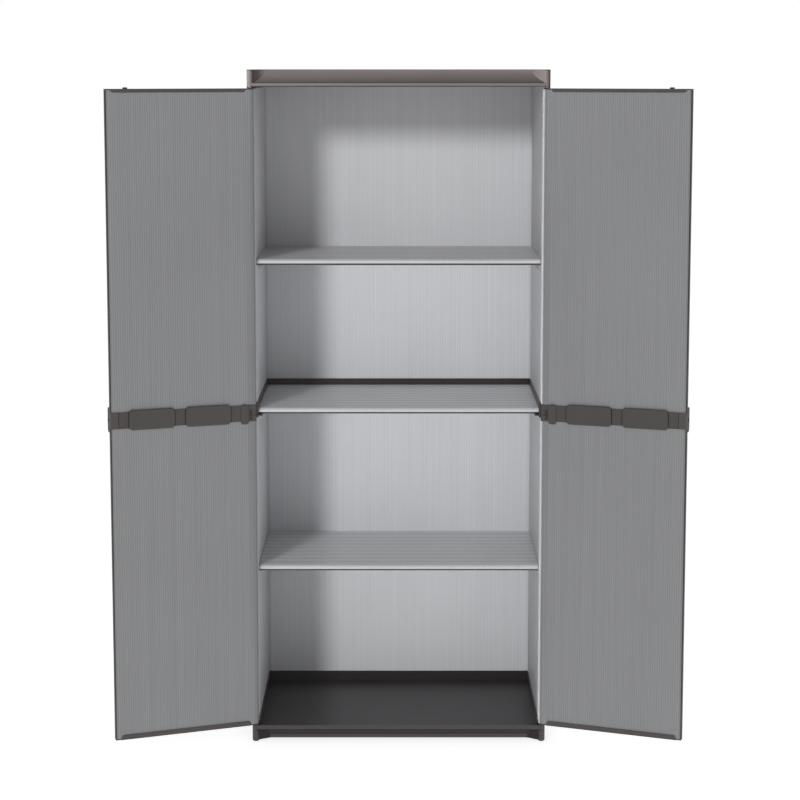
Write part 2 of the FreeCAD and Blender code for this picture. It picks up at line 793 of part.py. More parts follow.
def main():
    """Build every node, move the origin under the middle of the whole and write the files."""
    nodes = carcass_nodes()
    nodes.update(door_nodes())
    bounds = Part.Compound(list(nodes.values())).optimalBoundingBox(False, False)
    shift = Vector(0, -(bounds.YMin + bounds.YMax) / 2, 0)
    os.makedirs("parts", exist_ok=True)
    for name, shape in nodes.items():
        shape.translate(shift)
        shape.exportStep("parts/" + name + ".step")
        print(name, "solids", len(shape.Solids), "valid", shape.isValid(), "volume", round(shape.Volume))
    print("hinge axes at X", axis_x, "Y", round(shift.y, 4))
    print("bounds", round(bounds.XLength, 2), round(bounds.YLength, 2), round(bounds.ZLength, 2))


main()
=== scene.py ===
"""Garden storage cabinet: the visual model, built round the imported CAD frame.

The cabinet is hollow extruded plastic panels held in dark mouldings, with two doors that stand
open at rest. The panels and the shelves are modelled anew with their fine extruded ribs, and so
are the bars across the doors. The other mouldings are copies of the CAD parts with their edges
rounded. Everything is in metres, +Z up, in the frame of the CAD model, and each finished piece
has its place in its mesh.
"""

import json
import logging
import math
from contextlib import contextmanager
from dataclasses import dataclass, field, replace
from enum import Enum
from typing import Callable, Iterator, Sequence

import bmesh
import bpy
from mathutils import Matrix, Vector

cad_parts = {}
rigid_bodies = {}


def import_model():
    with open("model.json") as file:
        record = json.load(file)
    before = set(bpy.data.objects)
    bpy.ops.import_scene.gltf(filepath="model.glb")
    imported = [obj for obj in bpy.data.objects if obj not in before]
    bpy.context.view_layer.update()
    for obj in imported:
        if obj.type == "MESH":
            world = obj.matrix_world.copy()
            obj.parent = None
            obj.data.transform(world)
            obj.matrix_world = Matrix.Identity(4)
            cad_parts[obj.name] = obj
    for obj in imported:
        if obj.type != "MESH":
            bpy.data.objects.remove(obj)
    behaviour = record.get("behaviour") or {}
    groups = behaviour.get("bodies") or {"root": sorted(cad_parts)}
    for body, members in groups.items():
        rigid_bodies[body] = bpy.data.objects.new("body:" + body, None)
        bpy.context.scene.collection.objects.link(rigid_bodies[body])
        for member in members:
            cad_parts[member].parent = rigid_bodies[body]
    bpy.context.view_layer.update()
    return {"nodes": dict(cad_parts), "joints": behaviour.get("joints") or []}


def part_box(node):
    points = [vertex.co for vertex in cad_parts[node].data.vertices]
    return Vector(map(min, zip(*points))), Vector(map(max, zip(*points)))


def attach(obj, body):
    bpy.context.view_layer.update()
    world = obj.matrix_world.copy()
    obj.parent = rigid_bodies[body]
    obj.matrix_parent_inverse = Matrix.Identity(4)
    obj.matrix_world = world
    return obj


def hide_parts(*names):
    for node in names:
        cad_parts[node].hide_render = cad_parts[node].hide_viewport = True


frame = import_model()

logging.basicConfig(level=logging.INFO, format="%(message)s")
LOG = logging.getLogger("cabinet")

MM = 0.001
TOUCH = 1e-5
REST_ANGLE = math.radians(160)
SMOOTH_ANGLE = math.radians(35)
FLAT_ANGLE = math.radians(0.5)
# The point attribute of the ribs' heights and of the painted shade marks in the shelves' grooves and
# noses; the extruded finishes turn it into painted shade and painted light.
PAINTED_RIB_SHADING = "painted_rib_shading"
LEVELS = ("upper", "lower")

Colour = tuple[float, float, float, float]
Place = Callable[[Vector], bool]
Spot = Callable[[Vector, Vector], bool]


class Side(Enum):
    """The two halves of the cabinet, as seen from the front."""

    LEFT = "left"
    RIGHT = "right"


class Element(Enum):
    """What is selected in edit mode."""

    POINT = "VERT"
    EDGE = "EDGE"
    FACE = "FACE"


# Modelling by hand: small tools round Blender's operators


def only(piece: bpy.types.Object) -> None:
    """Select one piece and nothing else, and make it active.

    Args:
        piece: the piece to work on.
    """
    bpy.ops.object.select_all(action="DESELECT")
    piece.select_set(True)
    bpy.context.view_layer.objects.active = piece


@contextmanager
def editing(piece: bpy.types.Object, element: Element = Element.POINT) -> Iterator[None]:
    """Work on a piece in edit mode.

    Args:
        piece: the mesh object to edit.
        element: what is selected in it.

    Yields:
        Nothing: the piece is in edit mode until the block ends.
    """
    only(piece)
    bpy.ops.object.mode_set(mode="EDIT")
    bpy.ops.mesh.select_mode(type=element.value)
    yield
    bpy.ops.object.mode_set(mode="OBJECT")


def pick(piece: bpy.types.Object, wanted: Place, element: Element = Element.POINT) -> int:
    """Select the points or the edges whose middle is wanted, in edit mode.

    Args:
        piece: the mesh being edited.
        wanted: tells from a place whether it is selected.
        element: POINT or EDGE.

    Returns:
        How many were selected.
    """
    bpy.ops.mesh.select_all(action="DESELECT")
    mesh = bmesh.from_edit_mesh(piece.data)
    if element is Element.EDGE:
        places = [(edge, (edge.verts[0].co + edge.verts[1].co) / 2) for edge in mesh.edges]
    else:
        places = [(vert, vert.co) for vert in mesh.verts]
    chosen = [part for part, place in places if wanted(place)]
    for part in chosen:
        part.select_set(True)
    mesh.select_flush_mode()
    bmesh.update_edit_mesh(piece.data)
    return len(chosen)


def settle(piece: bpy.types.Object) -> None:
    """Apply a piece's place, turn and scale to its mesh."""
    only(piece)
    bpy.ops.object.transform_apply(location=True, rotation=True, scale=True)


def tidy(piece: bpy.types.Object, turn_out: bool = True) -> None:
    """Merge the doubled points of a closed piece.

    Args:
        piece: the piece to clean.
        turn_out: True if its faces are turned outwards too.
    """
    with editing(piece):
        bpy.ops.mesh.select_all(action="SELECT")
        bpy.ops.mesh.remove_doubles(threshold=TOUCH)
        if turn_out:
            bpy.ops.mesh.normals_make_consistent(inside=False)


def smooth(piece: bpy.types.Object, angle: float = SMOOTH_ANGLE) -> None:
    """Shade a piece smooth except at edges sharper than an angle."""
    only(piece)
    bpy.ops.object.shade_smooth_by_angle(angle=angle)


def applied(piece: bpy.types.Object, kind: str, **settings: object) -> None:
    """Add a modifier and apply it.

    Args:
        piece: the piece it works on.
        kind: the modifier's type.
        settings: its settings by name.
    """
    only(piece)
    modifier = piece.modifiers.new(kind.title(), kind)
    for name, value in settings.items():
        setattr(modifier, name, value)
    bpy.ops.object.modifier_apply(modifier=modifier.name)


def smooth_moulding(piece: bpy.types.Object) -> None:
    """Shade a bevelled piece smooth while its broad faces keep their own flat shading."""
    smooth(piece)
    applied(piece, "WEIGHTED_NORMAL", keep_sharp=True, weight=100)


def bevelled(piece: bpy.types.Object, width: float, segments: int = 2, angle: float = 30.0) -> None:
    """Round the edges that are sharper than an angle in degrees."""
    applied(piece, "BEVEL", width=width, segments=segments, limit_method="ANGLE",
            angle_limit=math.radians(angle), use_clamp_overlap=False, miter_outer="MITER_ARC")


def shaped(name: str, scale: Sequence[float] = (1, 1, 1),
           turn: Sequence[float] = (0, 0, 0)) -> bpy.types.Object:
    """Name, scale and turn the primitive that was just added.

    Args:
        name: the piece's name.
        scale: its scale along each axis.
        turn: its turn about each axis.

    Returns:
        The piece, with its place in its mesh.
    """
    piece = bpy.context.object
    piece.name = name
    piece.scale = scale
    piece.rotation_euler = turn
    settle(piece)
    return piece


def block(name: str, low: Vector, high: Vector) -> bpy.types.Object:
    """Make a box, to be shaped further.

    Args:
        name: the piece's name.
        low: its lowest corner.
        high: its highest corner.

    Returns:
        The box.
    """
    bpy.ops.object.select_all(action="DESELECT")
    bpy.ops.mesh.primitive_cube_add(size=1, location=(low + high) / 2)
    return shaped(name, high - low)


def sheet(name: str, columns: int, middle: Vector, width: float, height: float) -> bpy.types.Object:
    """Make an upright flat sheet that faces +Y, to be shaped further.

    Args:
        name: the piece's name.
        columns: into how many columns it is divided.
        middle: where its middle is.
        width: its size along X.
        height: its size along Z.

    Returns:
        The sheet.
    """
    bpy.ops.object.select_all(action="DESELECT")
    bpy.ops.mesh.primitive_grid_add(x_subdivisions=columns, y_subdivisions=1, size=1, location=middle)
    return shaped(name, (width, height, 1), (math.pi / 2, 0, 0))


def rod(name: str, radius: float, low: Vector, high: Vector, sides: int = 48) -> bpy.types.Object:
    """Make a round bar, to be shaped further.

    Args:
        name: the piece's name.
        radius: its radius.
        low: the middle of one end.
        high: the middle of the other end.
        sides: how many flat sides stand for the round.

    Returns:
        The bar.
    """
    bpy.ops.object.select_all(action="DESELECT")
    bpy.ops.mesh.primitive_cylinder_add(vertices=sides, radius=radius, depth=(high - low).length,
                                        location=(low + high) / 2)
    return shaped(name, turn=(high - low).to_track_quat("Z", "Y").to_euler())


def cut(piece: bpy.types.Object, tool: bpy.types.Object) -> None:
    """Cut a tool's shape out of a piece and throw the tool away."""
    applied(piece, "BOOLEAN", operation="DIFFERENCE", solver="EXACT", object=tool)
    bpy.data.objects.remove(tool)


def fused(piece: bpy.types.Object, others: Sequence[bpy.types.Object]) -> None:
    """Weld other shapes to a piece as one closed skin.

    Args:
        piece: the piece that stays.
        others: the shapes that become a part of it.
    """
    for other in others:
        applied(piece, "BOOLEAN", operation="UNION", solver="EXACT", object=other)
        bpy.data.objects.remove(other)


def copied(piece: bpy.types.Object, name: str, place: Matrix) -> bpy.types.Object:
    """Return a copy with its own mesh, moved to its place.

    Args:
        piece: the pattern to copy.
        name: the copy's name.
        place: where the copy goes; a mirror image is turned the right way out again.

    Returns:
        The copy, at the origin, with its place in its mesh.
    """
    copy = bpy.data.objects.new(name, piece.data.copy())
    copy.data.name = name
    bpy.context.scene.collection.objects.link(copy)
    copy.matrix_world = place
    settle(copy)
    if place.determinant() < 0:
        tidy(copy)
        smooth(copy)
    return copy


def refined(node: str, name: str) -> bpy.types.Object:
    """Return a copy of a CAD node with its loose triangles merged into whole faces.

    Args:
        node: the CAD node's name.
        name: the copy's name.

    Returns:
        A new closed piece in the node's place, its edges still sharp.
    """
    piece = bpy.data.objects.new(name, frame["nodes"][node].data.copy())
    piece.data.name = name
    bpy.context.scene.collection.objects.link(piece)
    only(piece)
    bpy.ops.mesh.customdata_custom_splitnormals_clear()
    tidy(piece, turn_out=False)
    with editing(piece, Element.FACE):
        bpy.ops.mesh.select_all(action="SELECT")
        bpy.ops.mesh.dissolve_limited(angle_limit=FLAT_ANGLE)
    return piece


def rounded_edges(piece: bpy.types.Object, wanted: Place, width: float, segments: int = 3) -> None:
    """Round the edges whose middle is wanted.

    Args:
        piece: the piece to work on.
        wanted: tells from an edge's middle whether it is rounded.
        width: the rounding's radius.
        segments: how many steps it has.
    """
    with editing(piece, Element.EDGE):
        if pick(piece, wanted, Element.EDGE):
            bpy.ops.mesh.bevel(offset=width, segments=segments, affect="EDGES")


def box_in(node: str, place: Matrix) -> tuple[Vector, Vector]:
    """Return a CAD node's lowest and highest corners as seen from a place.

    Args:
        node: the CAD node's name.
        place: the matrix from the local place to the frame.

    Returns:
        The two corners in the local place.
    """
    back = place.inverted()
    points = [back @ vert.co for vert in frame["nodes"][node].data.vertices]
    low = Vector([min(p[i] for p in points) for i in range(3)])
    high = Vector([max(p[i] for p in points) for i in range(3)])
    return low, high


# Shared shader effects


class Effects:
    """Node groups that several finishes use, each built once."""

    line_stretch = 0.004
    line_detail = 3.0
    line_roughness = 0.65
    grain_detail = 4.0
    drift_detail = 2.0

    def __init__(self) -> None:
        """Build every group."""
        self.streaks = self._streaks()
        self.grain = self._grain()
        self.drift = self._drift()
        self.polish = self._polish()

    @staticmethod
    def _new(name: str, inputs: dict[str, float],
             outputs: Sequence[str] = ("Mask",)) -> bpy.types.NodeTree:
        """Make an empty group with number inputs and outputs.

        Args:
            name: the group's name.
            inputs: each input's default by its name.
            outputs: the outputs' names.

        Returns:
            The group, with its input and output nodes.
        """
        group = bpy.data.node_groups.new(name, "ShaderNodeTree")
        for label, value in inputs.items():
            socket = group.interface.new_socket(label, in_out="INPUT", socket_type="NodeSocketFloat")
            socket.default_value = value
        for label in outputs:
            group.interface.new_socket(label, in_out="OUTPUT", socket_type="NodeSocketFloat")
        for end in ("NodeGroupInput", "NodeGroupOutput"):
            group.nodes.new(end)
        return group

    @staticmethod
    def _ends(group: bpy.types.NodeTree) -> tuple[bpy.types.Node, bpy.types.Node]:
        """Return a group's input and output nodes."""
        return group.nodes["Group Input"], group.nodes["Group Output"]

    @staticmethod
    def _noise(group: bpy.types.NodeTree, place: bpy.types.NodeSocket, scale: bpy.types.NodeSocket,
               detail: float) -> bpy.types.Node:
        """Add a noise texture.

        Args:
            group: the group it goes into.
            place: the coordinates it follows.
            scale: what sets its scale.
            detail: how many finer layers it has.

        Returns:
            The texture's node.
        """
        noise = group.nodes.new("ShaderNodeTexNoise")
        noise.inputs["Detail"].default_value = detail
        group.links.new(place, noise.inputs["Vector"])
        group.links.new(scale, noise.inputs["Scale"])
        return noise

    def _spread(self, group: bpy.types.NodeTree, value: bpy.types.NodeSocket, low: str, high: str) -> None:
        """Stretch a value over the group's mask.

        Args:
            group: the group it belongs to.
            value: the value.
            low: the input that says where the mask is 0.
            high: the input that says where it is 1.
        """
        start, end = self._ends(group)
        spread = group.nodes.new("ShaderNodeMapRange")
        group.links.new(value, spread.inputs["Value"])
        group.links.new(start.outputs[low], spread.inputs["From Min"])
        group.links.new(start.outputs[high], spread.inputs["From Max"])
        group.links.new(spread.outputs[0], end.inputs["Mask"])

    def _streaks(self) -> bpy.types.NodeTree:
        """Make long fine lines along Z, as an extrusion die leaves them.

        Returns:
            The group, whose mask is 0.5 where there is no line.
        """
        group = self._new("extrusion_streaks", {"Lines per metre": 220.0, "Contrast": 1.0})
        start, end = self._ends(group)
        nodes, links = group.nodes, group.links
        place = nodes.new("ShaderNodeTexCoord")
        squash = nodes.new("ShaderNodeVectorMath")
        squash.operation = "MULTIPLY"
        squash.inputs[1].default_value = (1.0, 1.0, self.line_stretch)
        links.new(place.outputs["Object"], squash.inputs[0])
        scale = start.outputs["Lines per metre"]
        noise = self._noise(group, squash.outputs[0], scale, self.line_detail)
        noise.inputs["Roughness"].default_value = self.line_roughness
        steps = []
        for operation in ("SUBTRACT", "MULTIPLY", "ADD"):
            step = nodes.new("ShaderNodeMath")
            step.operation = operation
            step.inputs[1].default_value = 0.5
            steps.append(step)
        centre, stretch, shift = steps
        shift.use_clamp = True
        links.new(noise.outputs["Fac"], centre.inputs[0])
        links.new(centre.outputs[0], stretch.inputs[0])
        links.new(start.outputs["Contrast"], stretch.inputs[1])
        links.new(stretch.outputs[0], shift.inputs[0])
        links.new(shift.outputs[0], end.inputs["Mask"])
        return group

    def _grain(self) -> bpy.types.NodeTree:
        """Make the fine pebbled grain of a spark-eroded mould.

        Returns:
            The group, with the grain's height and a mask of its light places.
        """
        group = self._new("mould_grain", {"Grains per metre": 1400.0}, ("Height", "Mask"))
        start, end = self._ends(group)
        nodes, links = group.nodes, group.links
        place = nodes.new("ShaderNodeTexCoord").outputs["Object"]
        scale = start.outputs["Grains per metre"]
        cells = nodes.new("ShaderNodeTexVoronoi")
        cells.feature = "SMOOTH_F1"
        links.new(place, cells.inputs["Vector"])
        links.new(scale, cells.inputs["Scale"])
        noise = self._noise(group, place, scale, self.grain_detail)
        blend = nodes.new("ShaderNodeMath")
        blend.operation = "MULTIPLY"
        links.new(cells.outputs["Distance"], blend.inputs[0])
        links.new(noise.outputs["Fac"], blend.inputs[1])
        links.new(blend.outputs[0], end.inputs["Height"])
        links.new(noise.outputs["Fac"], end.inputs["Mask"])
        return group

    def _drift(self) -> bpy.types.NodeTree:
        """Make slow, cloudy changes of tone across a piece.

        Returns:
            The group, with a mask of the light places.
        """
        group = self._new("tone_drift", {"Clouds per metre": 4.0, "Low": 0.35, "High": 0.65})
        place = group.nodes.new("ShaderNodeTexCoord").outputs["Object"]
        scale = self._ends(group)[0].outputs["Clouds per metre"]
        noise = self._noise(group, place, scale, self.drift_detail)
        self._spread(group, noise.outputs["Fac"], "Low", "High")
        return group

    def _polish(self) -> bpy.types.NodeTree:
        """Make a mask of the raised edges that hands and goods have rubbed.

        Returns:
            The group, with the mask.
        """
        group = self._new("rubbed_edges", {"Start": 0.52, "Full": 0.62})
        shape = group.nodes.new("ShaderNodeNewGeometry")
        self._spread(group, shape.outputs["Pointiness"], "Start", "Full")
        return group


# Finishes


@dataclass(frozen=True)
class Finish:
    """One plastic, from its colour to its surface.

    Attributes:
        name: the material's name.
        slot: the record's material slot it belongs to.
        colour: the linear base colour.
        change: how much lighter its light places are than its dark ones.
        gloss: the shader's specular level.
        roughness: the mean roughness.
        spread: how far the roughness goes either way.
        lines: the depth of the extrusion's fine lines in metres, 0 on a moulding.
        grain: the depth of the mould's grain in metres, 0 on an extrusion.
        streak: the shares of the colour in the darkest and the lightest line.
        valley_painted_shade: how light the ribs' valleys are painted, a painted shade.
        painted_rib_shading: how light the ribs' crests are painted, a painted light.
        rubbed: how light a rubbed edge of a moulding is.
        bending: the plastic's index of refraction.
    """

    name: str
    slot: str
    colour: tuple[float, float, float]
    change: float = 0.06
    gloss: float = 0.5
    roughness: float = 0.45
    spread: float = 0.06
    lines: float = 0.0
    grain: float = 0.0
    streak: tuple[float, float] = (0.88, 1.12)
    valley_painted_shade: float = 1.0
    painted_rib_shading: float = 1.04
    rubbed: float = 1.35
    bending: float = 1.49

    def build(self, effects: Effects) -> bpy.types.Material:
        """Make the material.

        Args:
            effects: the shared node groups.

        Returns:
            A material of nodes only.
        """
        material = bpy.data.materials.new(self.name)
        material.use_nodes = True
        tree = material.node_tree
        shader = tree.nodes["Principled BSDF"]
        shader.inputs["IOR"].default_value = self.bending
        shader.inputs["Specular IOR Level"].default_value = self.gloss
        drift = self._effect(tree, effects.drift)
        tones = [self._tone(share) for share in (-self.change, self.change)]
        colour = self._mix(tree, drift.outputs["Mask"], *tones)
        pattern = self._extruded if self.lines > 0 else self._moulded
        colour, detail, height = pattern(tree, effects, colour)
        tree.links.new(colour, shader.inputs["Base Color"])
        rough = tree.nodes.new("ShaderNodeMapRange")
        rough.inputs["To Min"].default_value = self.roughness - self.spread
        rough.inputs["To Max"].default_value = self.roughness + self.spread
        tree.links.new(detail, rough.inputs["Value"])
        tree.links.new(rough.outputs[0], shader.inputs["Roughness"])
        bump = tree.nodes.new("ShaderNodeBump")
        bump.inputs["Distance"].default_value = max(self.lines, self.grain)
        bump.inputs["Strength"].default_value = 1.0
        tree.links.new(height, bump.inputs["Height"])
        tree.links.new(bump.outputs["Normal"], shader.inputs["Normal"])
        return material

    def _extruded(self, tree: bpy.types.NodeTree, effects: Effects,
                  colour: bpy.types.NodeSocket) -> tuple[bpy.types.NodeSocket, ...]:
        """Add the die's fine lines, and the ribs' painted shading: painted shade in their valleys and
        grooves, painted light on their crests.

        Args:
            tree: the material's nodes.
            effects: the shared node groups.
            colour: the colour so far.

        Returns:
            The new colour, the detail that changes the roughness, and the height.
        """
        streaks = self._effect(tree, effects.streaks).outputs["Mask"]
        colour = self._shade(tree, colour, streaks, self.streak)
        # Painted shade in the ribs' valleys, in the grooves and under the noses, and painted light on the
        # crests.
        painted_rib_shading = tree.nodes.new("ShaderNodeAttribute")
        painted_rib_shading.attribute_name = PAINTED_RIB_SHADING
        colour = self._shade(tree, colour, painted_rib_shading.outputs["Fac"], (self.valley_painted_shade, self.painted_rib_shading), clamp=False)
        return colour, streaks, streaks

    def _moulded(self, tree: bpy.types.NodeTree, effects: Effects,
                 colour: bpy.types.NodeSocket) -> tuple[bpy.types.NodeSocket, ...]:
        """Add the mould's grain and the rubbed edges.

        Args:
            tree: the material's nodes.
            effects: the shared node groups.
            colour: the colour so far.

        Returns:
            The new colour, the detail that changes the roughness, and the height.
        """
        grain = self._effect(tree, effects.grain)
        polish = self._effect(tree, effects.polish)
        colour = self._shade(tree, colour, polish.outputs["Mask"], (1.0, self.rubbed))
        return colour, grain.outputs["Mask"], grain.outputs["Height"]

    def _tone(self, share: float) -> Colour:
        """Return the colour made lighter or darker by a share."""
        return tuple(min(1.0, part * (1 + share)) for part in self.colour) + (1.0,)

    @staticmethod
    def _effect(tree: bpy.types.NodeTree, group: bpy.types.NodeTree) -> bpy.types.Node:
        """Add a shared group to a material.

        Args:
            tree: the material's nodes.
            group: the shared group.

        Returns:
            The node that stands for it.
        """
        node = tree.nodes.new("ShaderNodeGroup")
        node.node_tree = group
        return node

    @staticmethod
    def _mix(tree: bpy.types.NodeTree, factor: bpy.types.NodeSocket, dark: Colour,
             light: Colour) -> bpy.types.NodeSocket:
        """Blend two colours.

        Args:
            tree: the material's nodes.
            factor: what blends them.
            dark: the colour where the factor is 0.
            light: the colour where it is 1.

        Returns:
            The blended colour.
        """
        mix = tree.nodes.new("ShaderNodeMix")
        mix.data_type = "RGBA"
        ends = [socket for socket in mix.inputs if socket.type == "RGBA"]
        for socket, colour in zip(ends, (dark, light)):
            socket.default_value = colour
        tree.links.new(factor, mix.inputs["Factor"])
        return next(socket for socket in mix.outputs if socket.type == "RGBA")

    @staticmethod
    def _shade(tree: bpy.types.NodeTree, colour: bpy.types.NodeSocket, factor: bpy.types.NodeSocket,
               shares: tuple[float, float], clamp: bool = True) -> bpy.types.NodeSocket:
        """Multiply a colour by a value that follows a factor.

        Args:
            tree: the material's nodes.
            colour: the colour.
            factor: what the value follows.
            shares: the value where the factor is 0 and where it is 1.
            clamp: True if the value stays between the two.

        Returns:
            The new colour.
        """
        spread = tree.nodes.new("ShaderNodeMapRange")
        spread.clamp = clamp
        spread.inputs["To Min"].default_value, spread.inputs["To Max"].default_value = shares
        tree.links.new(factor, spread.inputs["Value"])
        scale = tree.nodes.new("ShaderNodeVectorMath")
        scale.operation = "SCALE"
        tree.links.new(colour, scale.inputs[0])
        tree.links.new(spread.outputs[0], scale.inputs["Scale"])
        return scale.outputs[0]


# The door, panel and shelf plastics are lit and shaded copies of one grey: the doors' colour carries
# painted shade, the panels' and shelves' painted light against the cavity's shade.
DOOR_PLASTIC_PAINTED_SHADE = Finish("door_plastic_painted_shade", "door_grey", (0.286, 0.289, 0.296), change=0.02,
                      lines=0.06 * MM, valley_painted_shade=0.82, roughness=0.5)
PANEL_PLASTIC_PAINTED_LIGHT = Finish("panel_plastic_painted_light", "panel_grey", (0.59, 0.595, 0.615), change=0.02,
                       lines=0.05 * MM, valley_painted_shade=0.94, roughness=0.5)
SHELF_PLASTIC_PAINTED_LIGHT = Finish("shelf_plastic_painted_light", "shelf_grey", (0.57, 0.575, 0.59), change=0.03,
                       lines=0.04 * MM, valley_painted_shade=0.88, roughness=0.34)
BRACKET_PLASTIC = Finish("bracket_plastic", "bracket_grey", (0.4, 0.405, 0.415),
                         grain=0.05 * MM, roughness=0.5)
MOULDED_PLASTIC = Finish("moulded_plastic", "moulding_dark", (0.073, 0.063, 0.061), gloss=0.35,
                         grain=0.06 * MM, roughness=0.36)
# A darker, duller copy of the moulded plastic: painted shade under the lips, over the tray's cove, on the
# cap's inward faces below its lip, and on the doors' free edges and handle lugs.
PAINTED_SHADE_PLASTIC = Finish("painted_shade_plastic", "moulding_dark", (0.03, 0.0275, 0.027), gloss=0.2,
                        grain=0.06 * MM, roughness=0.5)
FLOOR_PLASTIC = Finish("tray_floor_plastic", "moulding_dark", (0.06, 0.06, 0.061), gloss=0.4,
                       grain=0.08 * MM, roughness=0.42)


@dataclass
class Paint:
    """The finished materials, ready to be put on pieces.

    Attributes:
        effects: the shared node groups.
        made: the materials made so far, by name.
    """

    effects: Effects
    made: dict[str, bpy.types.Material] = field(default_factory=dict)

    def material(self, finish: Finish) -> bpy.types.Material:
        """Return a finish's material, made the first time it is asked for.

        Args:
            finish: the finish.

        Returns:
            Its one material.
        """
        if finish.name not in self.made:
            self.made[finish.name] = finish.build(self.effects)
        return self.made[finish.name]

    def put(self, piece: bpy.types.Object, finish: Finish) -> None:
        """Give a piece one finish all over."""
        piece.data.materials.clear()
        piece.data.materials.append(self.material(finish))

    def touch_up(self, piece: bpy.types.Object, finish: Finish, wanted: Spot) -> None:
        """Give the faces whose middle and normal are wanted another finish.

        Args:
            piece: the piece, dressed already.
            finish: the finish those faces get.
            wanted: tells from a face's middle and normal whether it is one of them.
        """
        piece.data.materials.append(self.material(finish))
        index = len(piece.data.materials) - 1
        chosen = [face for face in piece.data.polygons if wanted(face.center, face.normal)]
        for face in chosen:
            face.material_index = index
        LOG.info("%s: %d faces in %s", piece.name, len(chosen), finish.name)


def hand_over(piece: bpy.types.Object, node: str, body: str, finish: Finish, paint: Paint) -> None:
    """Dress a finished piece and let it stand for its CAD node.

    Args:
        piece: the finished piece.
        node: the CAD node it replaces.
        body: the CAD body it rides on.
        finish: what it is made of.
        paint: the material store.
    """
    paint.put(piece, finish)
    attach(piece, body)
    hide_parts(node)
    LOG.info("%s: %d faces, %s", piece.name, len(piece.data.polygons), finish.name)


# Extruded panels


@dataclass(frozen=True)
class Ribs:
    """The fine ribs that the extrusion die leaves along a panel.

    Attributes:
        pitch: from one rib to the next.
        relief: how far a rib stands out.
        margin: the plain band at each edge of the panel.
        profile: how high each column of one rib stands, as a share of the relief.
    """

    pitch: float = 6.0 * MM
    relief: float = 0.5 * MM
    margin: float = 3.0 * MM
    profile: tuple[float, ...] = (0.0, 0.72, 1.0, 0.72)

    def raise_on(self, skin: bpy.types.Object, start: float) -> None:
        """Shape a flat sheet's columns into rounded ribs, towards +Y.

        Args:
            skin: a sheet with as many columns to each rib as the profile has.
            start: the X of the first column.
        """
        columns = len(self.profile)
        step = self.pitch / columns
        with editing(skin):
            for phase, share in enumerate(self.profile):
                if share > 0:
                    pick(skin, lambda co: round((co.x - start) / step) % columns == phase)
                    bpy.ops.transform.translate(value=(0, self.relief * share, 0))


GROOVE_PITCH = 35.0 * MM
RIBS_TO_GROOVE = 6
DOOR_RIBS = Ribs(pitch=5.2 * MM)
CARCASS_RIBS = Ribs(relief=0.3 * MM)
SHELF_RIBS = Ribs(pitch=GROOVE_PITCH / RIBS_TO_GROOVE, relief=0.3 * MM)


@dataclass
class Panel:
    """A hollow extruded panel, drawn upright across X with its middle plane on Y = 0.

    Attributes:
        low: the lowest corner of the panel's space.
        high: the highest corner.
        ribs: the ribs on both faces.
        round_start: True if the edge at X = 0 is rounded about the hinge axis.
        round_steps: how many steps either half of that edge has.
    """

    low: Vector
    high: Vector
    ribs: Ribs = Ribs()
    round_start: bool = False
    round_steps: int = 6

    def build(self, name: str) -> bpy.types.Object:
        """Model the panel.

        Args:
            name: the skin's name.

        Returns:
            A closed skin, ribbed on both faces.
        """
        face = (self.high.y - self.low.y) / 2 - self.ribs.relief
        start = 0.0 if self.round_start else self.low.x
        end = self.high.x
        count = int((end - start - 2 * self.ribs.margin) / self.ribs.pitch)
        width = count * self.ribs.pitch
        first = (start + end - width) / 2
        height = self.high.z - self.low.z
        middle = Vector((first + width / 2, face, (self.low.z + self.high.z) / 2))
        skin = sheet(name, len(self.ribs.profile) * count, middle, width, height)
        self.ribs.raise_on(skin, first)
        with editing(skin, Element.EDGE):
            for x, reach in ((first, start - first), (first + width, end - first - width)):
                pick(skin, lambda co: abs(co.x - x) < TOUCH, Element.EDGE)
                bpy.ops.mesh.extrude_region_move(TRANSFORM_OT_translate={"value": (reach, 0, 0)})
            if self.round_start:
                pick(skin, lambda co: abs(co.x - start) < TOUCH, Element.EDGE)
                bpy.ops.mesh.spin(steps=self.round_steps, angle=-math.pi / 2,
                                  center=(0, 0, 0), axis=(0, 0, 1))
            self.draw_back()
        applied(skin, "MIRROR", use_axis=(False, True, False), use_mirror_merge=True,
                merge_threshold=TOUCH)
        tidy(skin)
        self.mark_painted_rib_shading(skin, face)
        return skin

    @staticmethod
    def draw_back() -> None:
        """Draw the outline of the ribbed face being edited back to the middle plane."""
        bpy.ops.mesh.select_all(action="SELECT")
        bpy.ops.mesh.region_to_loop()
        bpy.ops.mesh.extrude_edges_move(TRANSFORM_OT_translate={"value": (0, 0, 0)})
        bpy.ops.transform.resize(value=(1, 0, 1), center_override=(0, 0, 0))

    def mark_painted_rib_shading(self, skin: bpy.types.Object, face: float) -> None:
        """Store each point's height from the ribs' feet, 0, to their crests, 1: the mask of their painted
        shading.

        Args:
            skin: the closed skin.
            face: from the middle plane to the ribs' feet.
        """
        painted_rib_shading = skin.data.attributes.new(PAINTED_RIB_SHADING, "FLOAT", "POINT")
        for vert, value in zip(skin.data.vertices, painted_rib_shading.data):
            value.value = min(1.0, max(0.0, (abs(vert.co.y) - face) / self.ribs.relief))


